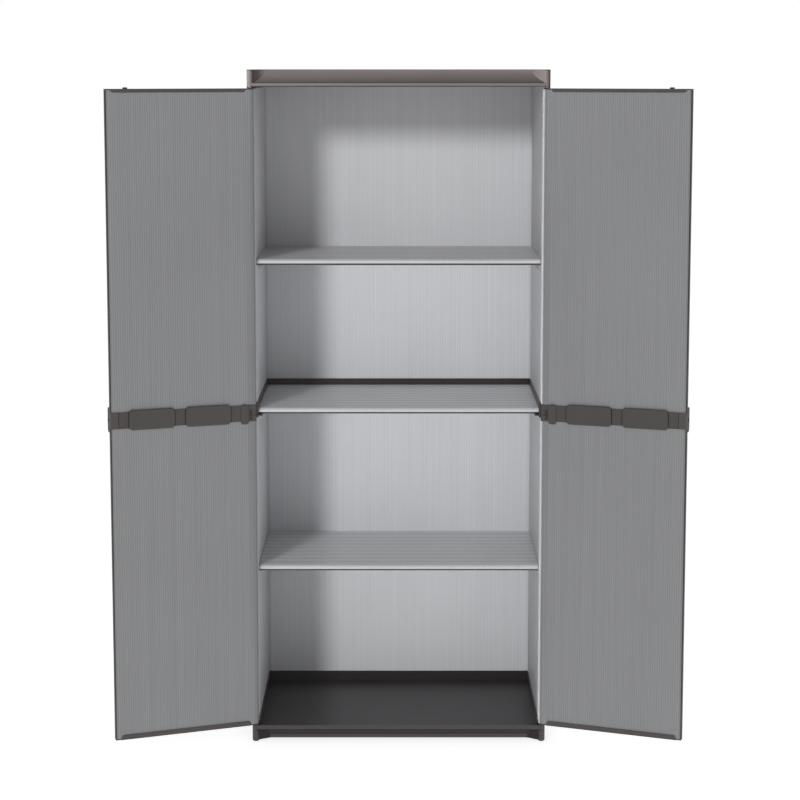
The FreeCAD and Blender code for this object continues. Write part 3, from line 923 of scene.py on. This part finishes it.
@dataclass
class Shelf:
    """A shelf extruded along X: a round nose, fine ribs and broad grooves on top, its grooves painted with
    shade.

    Attributes:
        low: the lowest corner of its CAD space.
        high: the highest corner.
        ribs: the fine ribs on both faces.
        spacing: from one groove to the next.
        first_groove: where the first groove lies, as a share of that distance.
        groove_depth: how far a groove is pressed in.
        groove_painted_shade: the painted shade value stored in a groove.
        drip_arc: where the groove under the nose starts and ends, in degrees from straight ahead.
        drip_depth: how deep that groove is.
        drip_painted_shade: the painted shade value stored in it.
    """

    low: Vector
    high: Vector
    ribs: Ribs = SHELF_RIBS
    spacing: float = GROOVE_PITCH
    first_groove: float = 0.6
    groove_depth: float = 0.7 * MM
    groove_painted_shade: float = -0.7
    drip_arc: tuple[float, float] = (20.0, 78.0)
    drip_depth: float = 0.8 * MM
    drip_painted_shade: float = -5.0

    def build(self, name: str) -> bpy.types.Object:
        """Model the shelf across X with its nose at X = 0 and lay it in its place.

        Args:
            name: the shelf's name.

        Returns:
            The shelf as a closed skin.
        """
        radius = (self.high.z - self.low.z) / 2
        half_width = (self.high.x - self.low.x) / 2
        depth = self.high.y - self.low.y - radius
        pattern = Panel(Vector((0, -radius, -half_width)), Vector((depth, radius, half_width)),
                        self.ribs, round_start=True).build("pattern")
        self.cut_grooves(pattern, depth, radius)
        self.cut_drip(pattern)
        nose = (self.low + self.high) / 2
        nose.y = self.low.y + radius
        laid = Matrix(((0, 0, 1, nose.x), (1, 0, 0, nose.y), (0, 1, 0, nose.z), (0, 0, 0, 1)))
        shelf = copied(pattern, name, laid)
        bpy.data.objects.remove(pattern)
        return shelf

    def cut_grooves(self, pattern: bpy.types.Object, depth: float, radius: float) -> None:
        """Press every few rows of the top's ribs down into grooves, painted with shade.

        Args:
            pattern: the shelf's skin.
            depth: from the nose's axis to the shelf's back.
            radius: the nose's radius.
        """
        pitch = self.ribs.pitch
        count = int((depth - 2 * self.ribs.margin) / pitch)
        first = (depth - count * pitch) / 2
        places = [first + round(self.spacing * (i + self.first_groove) / pitch) * pitch
                  for i in range(int(count * pitch / self.spacing))]
        self.press(pattern, lambda co: co.y > radius - 2 * self.ribs.relief
                   and any(abs(co.x - x) < pitch - TOUCH for x in places),
                   Vector((0, -self.groove_depth, 0)), self.groove_painted_shade)

    def cut_drip(self, pattern: bpy.types.Object) -> None:
        """Press a groove into the underside of the nose and paint it with shade.

        Args:
            pattern: the shelf's skin.
        """
        low, high = (math.radians(angle) for angle in self.drip_arc)
        middle = (low + high) / 2
        inwards = Vector((math.cos(middle), math.sin(middle), 0)) * self.drip_depth
        self.press(pattern, lambda co: co.x < -TOUCH and low < math.atan2(-co.y, -co.x) < high,
                   inwards, self.drip_painted_shade)

    @staticmethod
    def press(pattern: bpy.types.Object, wanted: Place, move: Vector, shade: float) -> None:
        """Press the points that are wanted into the skin and store their painted shade.

        Args:
            pattern: the shelf's skin.
            wanted: tells from a point whether it is pressed in.
            move: how far and which way it goes.
            shade: the painted shade value it gets.
        """
        for vert, painted_rib_shading in zip(pattern.data.vertices, pattern.data.attributes[PAINTED_RIB_SHADING].data):
            if wanted(vert.co):
                painted_rib_shading.value = shade
        with editing(pattern):
            pick(pattern, wanted)
            bpy.ops.transform.translate(value=move)


@dataclass
class Carcass:
    """The fixed panels, shelves and mouldings.

    Attributes:
        paint: the material store.
        turned: the turn from a panel drawn across X to a side panel.
        edge: the rounding of the mouldings' edges.
        sharp: the angle in degrees above which an edge of the tray, frame or cap is rounded.
        lip_edge: the rounding of a lip's upper edge.
        lip_under: the rounding of its lower edge.
        lip_reach: how far the lips and the floor reach to either side.
        base_lip: the heights of the lower and the upper edge of the tray's lip.
        cap_lip: how far these edges of the cap's lip lie below its top.
        cove_depth: how far the coves run back.
        floor_top: the height of the tray's floor.
        skirt_foot: how high the tray's skirt ends in the CAD model.
        skirt_drop: how much lower it comes here.
        looks_up: the least upward part of the normal of a face that looks up.
        looks_back: the most backward part of the normal of a face under a lip that gets painted shade.
        looks_ahead: the least forward part of the normal of a face of the cove that gets painted shade.
    """

    paint: Paint
    turned: Matrix = Matrix.Rotation(math.pi / 2, 4, "Z")
    edge: float = 0.4 * MM
    sharp: float = 60.0
    lip_edge: float = 1.0 * MM
    lip_under: float = 2.2 * MM
    lip_reach: float = 330 * MM
    base_lip: tuple[float, float] = (27 * MM, 39 * MM)
    cap_lip: tuple[float, float] = (38 * MM, 30 * MM)
    cove_depth: float = 20 * MM
    floor_top: float = 32 * MM
    skirt_foot: float = 8 * MM
    skirt_drop: float = 5.4 * MM
    looks_up: float = 0.9
    looks_back: float = 0.5
    looks_ahead: float = 0.1

    def build(self) -> None:
        """Build and dress every fixed piece."""
        self.back_panels()
        self.side_panels()
        self.shelves()
        self.brackets()
        self.base_tray()
        self.mid_frame()
        self.top_cap()

    def back_panels(self) -> None:
        """Build the two back panels across X."""
        for level in LEVELS:
            node = f"{level}_back_panel"
            low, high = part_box(node)
            middle = Vector((0, (low.y + high.y) / 2, 0))
            pattern = Panel(low - middle, high - middle, CARCASS_RIBS).build("pattern")
            piece = copied(pattern, f"ribbed_{node}", Matrix.Translation(middle))
            bpy.data.objects.remove(pattern)
            smooth(piece)
            hand_over(piece, node, "carcass", PANEL_PLASTIC_PAINTED_LIGHT, self.paint)

    def side_panels(self) -> None:
        """Build each pair of side panels from one pattern, drawn across X and turned."""
        for level in LEVELS:
            node = f"right_{level}_side_panel"
            pattern = Panel(*box_in(node, self.side_place(node)), CARCASS_RIBS).build("pattern")
            for side in Side:
                name = f"{side.value}_{level}_side_panel"
                piece = copied(pattern, f"ribbed_{name}", self.side_place(name))
                smooth(piece)
                hand_over(piece, name, "carcass", PANEL_PLASTIC_PAINTED_LIGHT, self.paint)
            bpy.data.objects.remove(pattern)

    def side_place(self, node: str) -> Matrix:
        """Return the place of a side panel that is drawn across X."""
        low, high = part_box(node)
        return Matrix.Translation(Vector((((low + high) / 2).x, 0, 0))) @ self.turned

    def shelves(self) -> None:
        """Build the three shelves, each extruded along X with a round nose at the front."""
        for level in ("upper", "middle", "lower"):
            node = f"{level}_shelf"
            shelf = Shelf(*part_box(node)).build(f"ribbed_{node}")
            smooth(shelf)
            hand_over(shelf, node, "carcass", SHELF_PLASTIC_PAINTED_LIGHT, self.paint)

    def brackets(self) -> None:
        """Round the edges of the shelf brackets."""
        for level in LEVELS:
            node = f"{level}_shelf_brackets"
            piece = refined(node, f"rounded_{node}")
            bevelled(piece, self.edge)
            smooth_moulding(piece)
            hand_over(piece, node, "carcass", BRACKET_PLASTIC, self.paint)

    def base_tray(self) -> None:
        """Shape the base tray, dress its floor, and paint shade under its lip and over its cove."""
        node = "base_tray"
        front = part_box(node)[0].y
        tray = refined(node, f"rounded_{node}")
        self.lower_skirt(tray)
        self.soften_lip(tray, front, self.base_lip)
        self.complete(tray, node)
        self.paint.touch_up(tray, FLOOR_PLASTIC, lambda co, normal: normal.z > self.looks_up
                            and abs(co.z - self.floor_top) < TOUCH and abs(co.x) < self.lip_reach)
        # Painted shade under the lip and over the whole cove.
        self.paint.touch_up(tray, PAINTED_SHADE_PLASTIC, self.painted_shade_under_lip(front, self.base_lip, True))

    def mid_frame(self) -> None:
        """Round the edges of the mid frame."""
        self.complete(refined("mid_frame", "rounded_mid_frame"), "mid_frame")

    def top_cap(self) -> None:
        """Shape the top cap, and paint shade under its lip and on the inward faces of its side ramps below
        the lip.
        """
        node = "top_cap"
        low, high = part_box(node)
        lip = tuple(high.z - drop for drop in self.cap_lip)
        cap = refined(node, f"rounded_{node}")
        self.soften_lip(cap, low.y, lip)
        self.complete(cap, node)
        # Painted shade under the lip, and on the inward faces of the side ramps below it.
        self.paint.touch_up(cap, PAINTED_SHADE_PLASTIC, self.painted_shade_under_lip(low.y, lip, False))
        self.paint.touch_up(cap, PAINTED_SHADE_PLASTIC, lambda co, normal: co.z < lip[0]
                            and abs(co.x) < self.lip_reach and normal.x * co.x < -TOUCH)

    def complete(self, piece: bpy.types.Object, node: str) -> None:
        """Round a moulding's other edges, clean it and dress it.

        Args:
            piece: the moulding.
            node: the CAD node it replaces.
        """
        bevelled(piece, self.edge, angle=self.sharp)
        tidy(piece, turn_out=False)
        smooth_moulding(piece)
        hand_over(piece, node, "carcass", MOULDED_PLASTIC, self.paint)

    def lower_skirt(self, tray: bpy.types.Object) -> None:
        """Bring the tray's skirt and cove down to just above the feet's bevels.

        Args:
            tray: the tray.
        """
        with editing(tray):
            pick(tray, lambda co: abs(co.z - self.skirt_foot) < TOUCH)
            bpy.ops.transform.translate(value=(0, 0, -self.skirt_drop))

    def soften_lip(self, piece: bpy.types.Object, front: float, lip: tuple[float, float]) -> None:
        """Round the front lip's edges, the lower one more fully.

        Args:
            piece: the tray or the cap.
            front: the Y of its front.
            lip: the heights of its lip's lower and upper edge.
        """
        for z, width in zip(lip, (self.lip_under, self.lip_edge)):
            rounded_edges(piece, lambda co: abs(co.y - front) < TOUCH and abs(co.z - z) < TOUCH
                          and abs(co.x) < self.lip_reach, width)

    def painted_shade_under_lip(self, front: float, lip: tuple[float, float], whole_cove: bool) -> Spot:
        """Describe the faces under a lip that get a painted shade.

        Args:
            front: the Y of the moulding's front.
            lip: the heights of its lip's lower and upper edge.
            whole_cove: True if the whole cove gets the painted shade too.

        Returns:
            A test for the faces that get the painted shade.
        """
        turn = lip[0] + self.lip_under - TOUCH

        def in_painted_shade(co: Vector, normal: Vector) -> bool:
            """Tell whether a face gets the painted shade.

            Args:
                co: the face's middle.
                normal: its normal.

            Returns:
                True if it is.
            """
            if abs(co.x) > self.lip_reach or co.y > front + self.cove_depth:
                return False
            if co.y < front + self.lip_under:
                near = abs(co.z - lip[0]) < 2 * self.lip_under
                return near and co.z < turn and normal.y < self.looks_back
            return whole_cove and co.z < lip[0] and normal.y < -self.looks_ahead

        return in_painted_shade


@dataclass(frozen=True)
class Pad:
    """A rounded block that stands out of both faces of a door's bar.

    Attributes:
        length: its length along the door.
        height: its height.
        rise: how far it stands out of each face.
        corner: the radius of its corners.
        drop: how much lower than the bar's middle its own middle is.
        crown: the rounding of its faces' edges.
    """

    length: float
    height: float
    rise: float
    corner: float
    drop: float = 0.0
    crown: float = 1.3 * MM


@dataclass(frozen=True)
class Slot:
    """One stroke of the L-shaped slot in the hinge block.

    Attributes:
        start: where it starts, from the hinge axis.
        finish: where it ends.
        height: its height.
        drop: how much lower than the bar's middle its own middle is.
        depth: how deep it is cut.
    """

    start: float
    finish: float
    height: float
    drop: float
    depth: float


@dataclass
class MidBar:
    """The bar across a door, drawn closed about the hinge axis, its inner face towards +Y.

    Attributes:
        middle: the height of the bar's middle.
        end: where the bar ends, from the hinge axis.
        height: the bar's height.
        face: from the door's middle plane to the bar's faces.
        edge: the rounding of its edges.
        channel: half the width of the channels that hold the panels.
        web: the thickness of the web between the channels.
        hinge_end: where the hinge block gives way to the panels' channels.
        hinge_height: the hinge block's height.
        hinge_radius: the knuckles' radius.
        hinge_edge: the rounding of the hinge block's ends.
        knuckle: half the height of the room for the frame's knuckle.
        neck: how far that room reaches along the door.
        room: how much more radius than the knuckles it has.
        bore: the radius of the pin's bore.
        bore_reach: from the middle to the bore's end.
        hinge_gap: how far the hinge block ends before the channels.
        wall: how far before the channels the wall that closes them starts.
        wall_overlap: how far that wall reaches past their start.
        wall_short: how much lower than the hinge block it is.
        clip: the clip beside the hinge block.
        pad: a grip pad.
        pads: where each grip pad starts.
        groove: the width and depth of the grooves beside the pads.
        groove_under: how far a groove reaches under a pad.
        slots: the upright and the foot of the L-shaped slot.
        overlap: how far two parts reach into each other, or a tool past the piece it cuts.
        beyond: a place well past the bar's end.
        slack: what keeps two faces from lying in one plane.
    """

    middle: float
    end: float = 313.9 * MM
    height: float = 37 * MM
    face: float = 9.8 * MM
    edge: float = 0.4 * MM
    channel: float = 7.8 * MM
    web: float = 3 * MM
    hinge_end: float = 13.5 * MM
    hinge_height: float = 38.5 * MM
    hinge_radius: float = 7.5 * MM
    hinge_edge: float = 0.5 * MM
    knuckle: float = 6.4 * MM
    neck: float = 6.4 * MM
    room: float = 0.5 * MM
    bore: float = 3.55 * MM
    bore_reach: float = 16 * MM
    hinge_gap: float = 0.4 * MM
    wall: float = 2 * MM
    wall_overlap: float = 0.2 * MM
    wall_short: float = 0.6 * MM
    clip: Pad = Pad(18 * MM, 45 * MM, 2 * MM, 6 * MM, 2.5 * MM)
    pad: Pad = Pad(104.45 * MM, 45 * MM, 3 * MM, 8 * MM)
    pads: tuple[float, float] = (55.5 * MM, 185.45 * MM)
    groove: float = 1.6 * MM
    groove_under: float = 0.3 * MM
    slots: tuple[Slot, Slot] = (Slot(8.4 * MM, 11.2 * MM, 22 * MM, 2.8 * MM, 3 * MM),
                                Slot(4.2 * MM, 9.8 * MM, 2.8 * MM, 12.3 * MM, 2.9 * MM))
    overlap: float = 1 * MM
    beyond: float = 1000 * MM
    slack: float = 0.1 * MM

    def build(self, name: str) -> bpy.types.Object:
        """Model the bar.

        Args:
            name: the bar's name.

        Returns:
            One closed piece.
        """
        bar = self.box(name, (self.hinge_end - self.overlap, self.end), (-self.face, self.face),
                       self.height)
        bevelled(bar, self.edge)
        parts = [self.pad_through(start, self.pad) for start in self.pads]
        sunk = self.overlap / 2
        clip = replace(self.clip, length=self.clip.length + sunk)
        parts.append(self.pad_through(self.hinge_end - sunk, clip))
        fused(bar, parts + self.hinge_parts())
        for side in (-1, 1):
            middle = side * (self.web / 2 + self.height)
            cut(bar, self.box("tool", (self.hinge_end, self.beyond), (-self.channel, self.channel),
                              2 * self.height, middle))
        self.cut_grooves(bar)
        self.open_hinge(bar)
        tidy(bar)
        return bar

    def box(self, name: str, x: tuple[float, float], y: tuple[float, float], height: float,
            offset: float = 0.0) -> bpy.types.Object:
        """Make a box across the bar.

        Args:
            name: the box's name.
            x: where it starts and ends along the door.
            y: where it starts and ends through the door.
            height: its height.
            offset: how far above the bar's middle its own middle is.

        Returns:
            The box.
        """
        low, high = (self.middle + offset + half for half in (-height / 2, height / 2))
        return block(name, Vector((x[0], y[0], low)), Vector((x[1], y[1], high)))

    def cut_grooves(self, bar: bpy.types.Object) -> None:
        """Cut grooves across both faces, on either side of each pad and at the bar's end.

        Args:
            bar: the bar.
        """
        spans = []
        for start in self.pads:
            finish = start + self.pad.length
            spans.append((start - self.groove, start + self.groove_under))
            spans.append((finish - self.groove_under, finish + self.groove))
        spans.append((self.end - self.groove, self.end + self.overlap))
        for span in spans:
            for side in (-1, 1):
                depths = sorted((side * (self.face - self.groove), side * (self.face + self.overlap)))
                cut(bar, self.box("tool", span, tuple(depths), self.height - self.overlap))

    def pad_through(self, start: float, pad: Pad) -> bpy.types.Object:
        """Model a pad that stands out of both faces of the bar.

        Args:
            start: where the pad starts, from the hinge axis.
            pad: its sizes.

        Returns:
            The pad, with rounded corners and soft crowns.
        """
        crown = self.face + pad.rise
        ends = (start, start + pad.length)
        piece = self.box("pad", ends, (-crown, crown), pad.height, -pad.drop)
        tips = [self.middle - pad.drop + half for half in (-pad.height / 2, pad.height / 2)]
        rounded_edges(piece, lambda co: min(abs(co.x - x) for x in ends) < TOUCH
                      and min(abs(co.z - z) for z in tips) < TOUCH, pad.corner, segments=6)
        rounded_edges(piece, lambda co: abs(abs(co.y) - crown) < TOUCH, pad.crown)
        return piece

    def hinge_parts(self) -> list[bpy.types.Object]:
        """Model the block that carries the knuckles and the wall that closes the channels.

        Returns:
            The block and the wall, which is a little shorter and stands a little out of the faces.
        """
        radius = self.hinge_radius
        hinge = self.box("hinge", (-radius, self.hinge_end - self.hinge_gap), (-radius, radius),
                         self.hinge_height)
        rounded_edges(hinge, lambda co: co.x < TOUCH - radius and abs(abs(co.y) - radius) < TOUCH,
                      radius - 2 * TOUCH, segments=12)
        tip = self.hinge_height / 2
        rounded_edges(hinge, lambda co: abs(abs(co.z - self.middle) - tip) < TOUCH, self.hinge_edge,
                      segments=2)
        out = self.face + self.slack
        wall = self.box("wall", (self.hinge_end - self.wall, self.hinge_end + self.wall_overlap),
                        (-out, out), self.hinge_height - self.wall_short)
        return [hinge, wall]

    def open_hinge(self, bar: bpy.types.Object) -> None:
        """Cut the room for the frame's knuckle, the pin's bore and the L-shaped slot.

        Args:
            bar: the bar.
        """
        room = self.hinge_radius + self.room
        middle = Vector((0, 0, self.middle))
        for radius, reach in ((room, self.knuckle), (self.bore, self.bore_reach)):
            up = Vector((0, 0, reach))
            cut(bar, rod("tool", radius, middle - up, middle + up))
        past_knuckles = -1.1 * room
        cut(bar, self.box("tool", (past_knuckles, self.neck), (-room, room),
                          2 * self.knuckle + self.slack))
        for slot in self.slots:
            depths = (self.hinge_radius - slot.depth, 2 * room)
            cut(bar, self.box("tool", (slot.start, slot.finish), depths, slot.height, -slot.drop))


@dataclass
class Doors:
    """Both doors. Panels and bars are drawn closed about the left hinge axis and copied to both.

    Attributes:
        paint: the material store.
        edge: the rounding of the moulded parts' edges.
        clear: the room between the panels and the hinge block.
        beyond: how far the tool that notches the panels reaches past them.
        lug_rise: how far beyond the bar's face a face of the lug lies at least.
        looks_out: the least outward part of the normal of a face of the free edge.
    """

    paint: Paint
    edge: float = 0.35 * MM
    clear: float = 0.3 * MM
    beyond: float = 20 * MM
    lug_rise: float = 0.2 * MM
    looks_out: float = 0.5

    def __post_init__(self) -> None:
        """Work out where each door stands at rest."""
        hinge = next(joint for joint in frame["joints"] if joint["name"] == "left_door_hinge")
        axis = Vector(hinge["pos_m"])
        left = Matrix.Translation(Vector((axis.x, axis.y, 0))) @ Matrix.Rotation(-REST_ANGLE, 4, "Z")
        self.places = {Side.LEFT: left, Side.RIGHT: Matrix.Scale(-1, 4, Vector((1, 0, 0))) @ left}
        self.axis_z = axis.z

    def build(self) -> None:
        """Build and dress every door piece."""
        for level in LEVELS:
            self.share(f"{level}_panel", self.panel(level), DOOR_PLASTIC_PAINTED_SHADE)
        self.share("mid_bar", MidBar(self.axis_z).build("pattern"), MOULDED_PLASTIC)
        for part in ("handle", "top_end_cap", "bottom_end_cap", "upper_edge_strip", "lower_edge_strip"):
            self.round_off(part)

    def round_off(self, part: str) -> None:
        """Round the edges of a moulded door part on both doors, and paint shade on the free edge and lug
        of a handle or edge strip.

        Args:
            part: the part's name, without its door's.
        """
        for side in Side:
            node = f"{side.value}_door_{part}"
            piece = refined(node, f"rounded_{node}")
            bevelled(piece, self.edge)
            smooth_moulding(piece)
            hand_over(piece, node, f"{side.value}_door", MOULDED_PLASTIC, self.paint)
            # The faces of the free edge and of the lug get a painted shade.
            if part == "handle" or part.endswith("edge_strip"):
                self.paint.touch_up(piece, PAINTED_SHADE_PLASTIC, self.outer_edge_painted_shade(side))

    def outer_edge_painted_shade(self, side: Side) -> Spot:
        """Describe the faces of a door's free edge and its lug, which get a painted shade.

        Args:
            side: which door it is.

        Returns:
            A test for the faces that look out past the free edge or lie on the lug.
        """
        back = self.places[side].inverted()
        turn = back.to_3x3()
        lug = -(MidBar.face + self.lug_rise)
        return lambda co, normal: (turn @ normal).x > self.looks_out or (back @ co).y < lug

    def space_of(self, part: str) -> tuple[Vector, Vector]:
        """Return the box of a door part in the closed door's own place."""
        return box_in(f"left_door_{part}", self.places[Side.LEFT])

    def share(self, part: str, pattern: bpy.types.Object, finish: Finish) -> None:
        """Copy a finished pattern to both doors and throw the pattern away.

        Args:
            part: the part's name, without its door's.
            pattern: the piece, drawn closed about the hinge axis.
            finish: what it is made of.
        """
        shade = smooth_moulding if finish == MOULDED_PLASTIC else smooth
        for side in Side:
            body = f"{side.value}_door"
            piece = copied(pattern, f"{body}_{part}_skin", self.places[side])
            shade(piece)
            hand_over(piece, f"{body}_{part}", body, finish, self.paint)
        bpy.data.objects.remove(pattern)

    def panel(self, level: str) -> bpy.types.Object:
        """Model one door panel, rounded at the hinge and notched at the middle knuckle.

        Args:
            level: upper or lower.

        Returns:
            The panel, drawn closed about the hinge axis.
        """
        low, high = self.space_of(f"{level}_panel")
        panel = Panel(low, high, DOOR_RIBS, round_start=True).build("pattern")
        half = MidBar.hinge_height / 2 + self.clear
        cut(panel, block("notch", Vector((-self.beyond, -self.beyond, self.axis_z - half)),
                         Vector((MidBar.hinge_end + self.clear, self.beyond, self.axis_z + half))))
        tidy(panel)
        return panel


# The studio


@dataclass(frozen=True)
class Lamp:
    """A soft round light.

    Attributes:
        name: what it is for.
        place: where it hangs.
        aim: the point it faces.
        size: its diameter.
        power: its power in watts.
        lights: the ends of the names of the pieces it lights, or none for all of them.
        passes: the ends of the names of the pieces it shines through.
        shines: False if it only brightens and leaves no reflection.
    """

    name: str
    place: tuple[float, float, float]
    aim: tuple[float, float, float]
    size: float
    power: float
    lights: tuple[str, ...] = ()
    passes: tuple[str, ...] = ()
    shines: bool = True

    def hang(self) -> None:
        """Hang the light and link it to its pieces."""
        light = bpy.data.lights.new(self.name, "AREA")
        light.shape = "DISK"
        light.size = self.size
        light.energy = self.power
        lamp = bpy.data.objects.new(self.name, light)
        bpy.context.scene.collection.objects.link(lamp)
        lamp.location = self.place
        lamp.visible_glossy = self.shines
        lamp.rotation_euler = (Vector(self.aim) - lamp.location).to_track_quat("-Z", "Y").to_euler()
        if self.lights:
            lamp.light_linking.receiver_collection = self.group("lit", self.lights)
        if self.passes:
            through = self.group("passed", self.passes)
            lamp.light_linking.blocker_collection = through
            for link in through.collection_objects:
                link.light_linking.link_state = "EXCLUDE"

    def group(self, use: str, endings: tuple[str, ...]) -> bpy.types.Collection:
        """Gather some of the visual's pieces.

        Args:
            use: what the collection is for.
            endings: the ends of the pieces' names.

        Returns:
            A collection of the pieces whose names end as given.
        """
        group = bpy.data.collections.new(f"{self.name}_{use}")
        for piece in bpy.data.objects:
            new = piece.type == "MESH" and piece.name not in frame["nodes"]
            if new and piece.name.endswith(endings):
                group.objects.link(piece)
        return group


ALL_NAMES = ("",)
SHELF_NAMES = ("upper_shelf", "middle_shelf", "lower_shelf")
CABINET_MIDDLE = (0.0, 0.0, 0.85)
KEY = Lamp("key", (-3.507, -8.1, 4.175), CABINET_MIDDLE, size=1.5, power=80.0, passes=SHELF_NAMES)
INSIDE_KEY = Lamp("inside_key", (-6.736, -16.2, 6.865), CABINET_MIDDLE, size=3.0, power=1280.0,
                  passes=SHELF_NAMES, lights=SHELF_NAMES + ("back_panel",))
LOW_FILL = Lamp("low_fill", (-5.2, -3.8, 0.45), (0.0, 0.0, 1.5), size=0.8, power=1450.0,
                lights=("top_cap",), shines=False)
EDGE_LIGHT = Lamp("edge_light", (-3.0, 1.75, 0.8), (0.33, -0.13, 0.8), size=1.0, power=520.0,
                  lights=("right_door_upper_panel_skin", "right_door_lower_panel_skin"),
                  passes=ALL_NAMES, shines=False)


@dataclass
class Studio:
    """A plain pale floor, even light, soft lamps and the camera.

    Attributes:
        camera_at: where the camera stands.
        tilt: how far it looks down, in degrees.
        lens: its focal length in millimetres.
        sensor: the width of its sensor in millimetres.
        shift: its upward shift as a share of the picture's width.
        lamps: the soft lamps.
        ambient: the even light's strength at the horizon.
        zenith: its strength straight above, as a share of that.
        floor_size: the side of the square floor.
        floor_shade: how pale and how matt the floor is.
        floor_glow: how strongly the floor glows.
    """

    camera_at: Vector = Vector((0.0032, -4.717, 1.556))
    tilt: float = 7.074
    lens: float = 91.64
    sensor: float = 36.0
    shift: float = -0.1
    lamps: tuple[Lamp, ...] = (KEY, INSIDE_KEY, LOW_FILL, EDGE_LIGHT)
    ambient: float = 0.56
    zenith: float = 0.4
    floor_size: float = 60.0
    floor_shade: float = 0.9
    floor_glow: float = 0.72

    def build(self) -> None:
        """Set up floor, lights and camera round the finished object."""
        self.floor()
        self.surroundings()
        for lamp in self.lamps:
            lamp.hang()
        self.camera()
        bpy.context.scene.view_settings.view_transform = "Standard"

    def floor(self) -> None:
        """Lay the pale floor, which is not part of the object."""
        bpy.ops.object.select_all(action="DESELECT")
        bpy.ops.mesh.primitive_plane_add(size=self.floor_size, location=(0, 0, 0))
        floor = bpy.context.object
        floor.name = "studio_floor"
        material = bpy.data.materials.new("studio_floor")
        material.use_nodes = True
        shader = material.node_tree.nodes["Principled BSDF"]
        shader.inputs["Base Color"].default_value = (self.floor_shade,) * 3 + (1,)
        shader.inputs["Roughness"].default_value = self.floor_shade
        shader.inputs["Specular IOR Level"].default_value = 0.0
        shader.inputs["Emission Color"].default_value = (1, 1, 1, 1)
        shader.inputs["Emission Strength"].default_value = self.floor_glow
        floor.data.materials.append(material)

    def surroundings(self) -> None:
        """Fill the studio with even light; the backdrop itself is white."""
        world = bpy.context.scene.world or bpy.data.worlds.new("studio")
        bpy.context.scene.world = world
        world.use_nodes = True
        nodes, links = world.node_tree.nodes, world.node_tree.links
        nodes.clear()
        output = nodes.new("ShaderNodeOutputWorld")
        mix = nodes.new("ShaderNodeMixShader")
        path = nodes.new("ShaderNodeLightPath")
        light = nodes.new("ShaderNodeBackground")
        backdrop = nodes.new("ShaderNodeBackground")
        for node in (light, backdrop):
            node.inputs["Color"].default_value = (1, 1, 1, 1)
        place = nodes.new("ShaderNodeTexCoord")
        parts = nodes.new("ShaderNodeSeparateXYZ")
        fall = nodes.new("ShaderNodeMapRange")
        fall.inputs["To Min"].default_value = self.ambient
        fall.inputs["To Max"].default_value = self.ambient * self.zenith
        links.new(place.outputs["Generated"], parts.inputs[0])
        links.new(parts.outputs["Z"], fall.inputs["Value"])
        links.new(fall.outputs[0], light.inputs["Strength"])
        links.new(path.outputs["Is Camera Ray"], mix.inputs[0])
        links.new(light.outputs[0], mix.inputs[1])
        links.new(backdrop.outputs[0], mix.inputs[2])
        links.new(mix.outputs[0], output.inputs["Surface"])

    def camera(self) -> None:
        """Stand the camera where the photograph was taken from."""
        data = bpy.data.cameras.new("camera")
        data.lens = self.lens
        data.sensor_width = self.sensor
        data.shift_y = self.shift
        camera = bpy.data.objects.new("camera", data)
        bpy.context.scene.collection.objects.link(camera)
        camera.location = self.camera_at
        camera.rotation_euler = (math.radians(90 - self.tilt), 0, 0)
        bpy.context.scene.camera = camera


def main() -> None:
    """Build the carcass, the doors and the studio."""
    paint = Paint(Effects())
    Carcass(paint).build()
    Doors(paint).build()
    Studio().build()


if __name__ == "__main__":
    main()
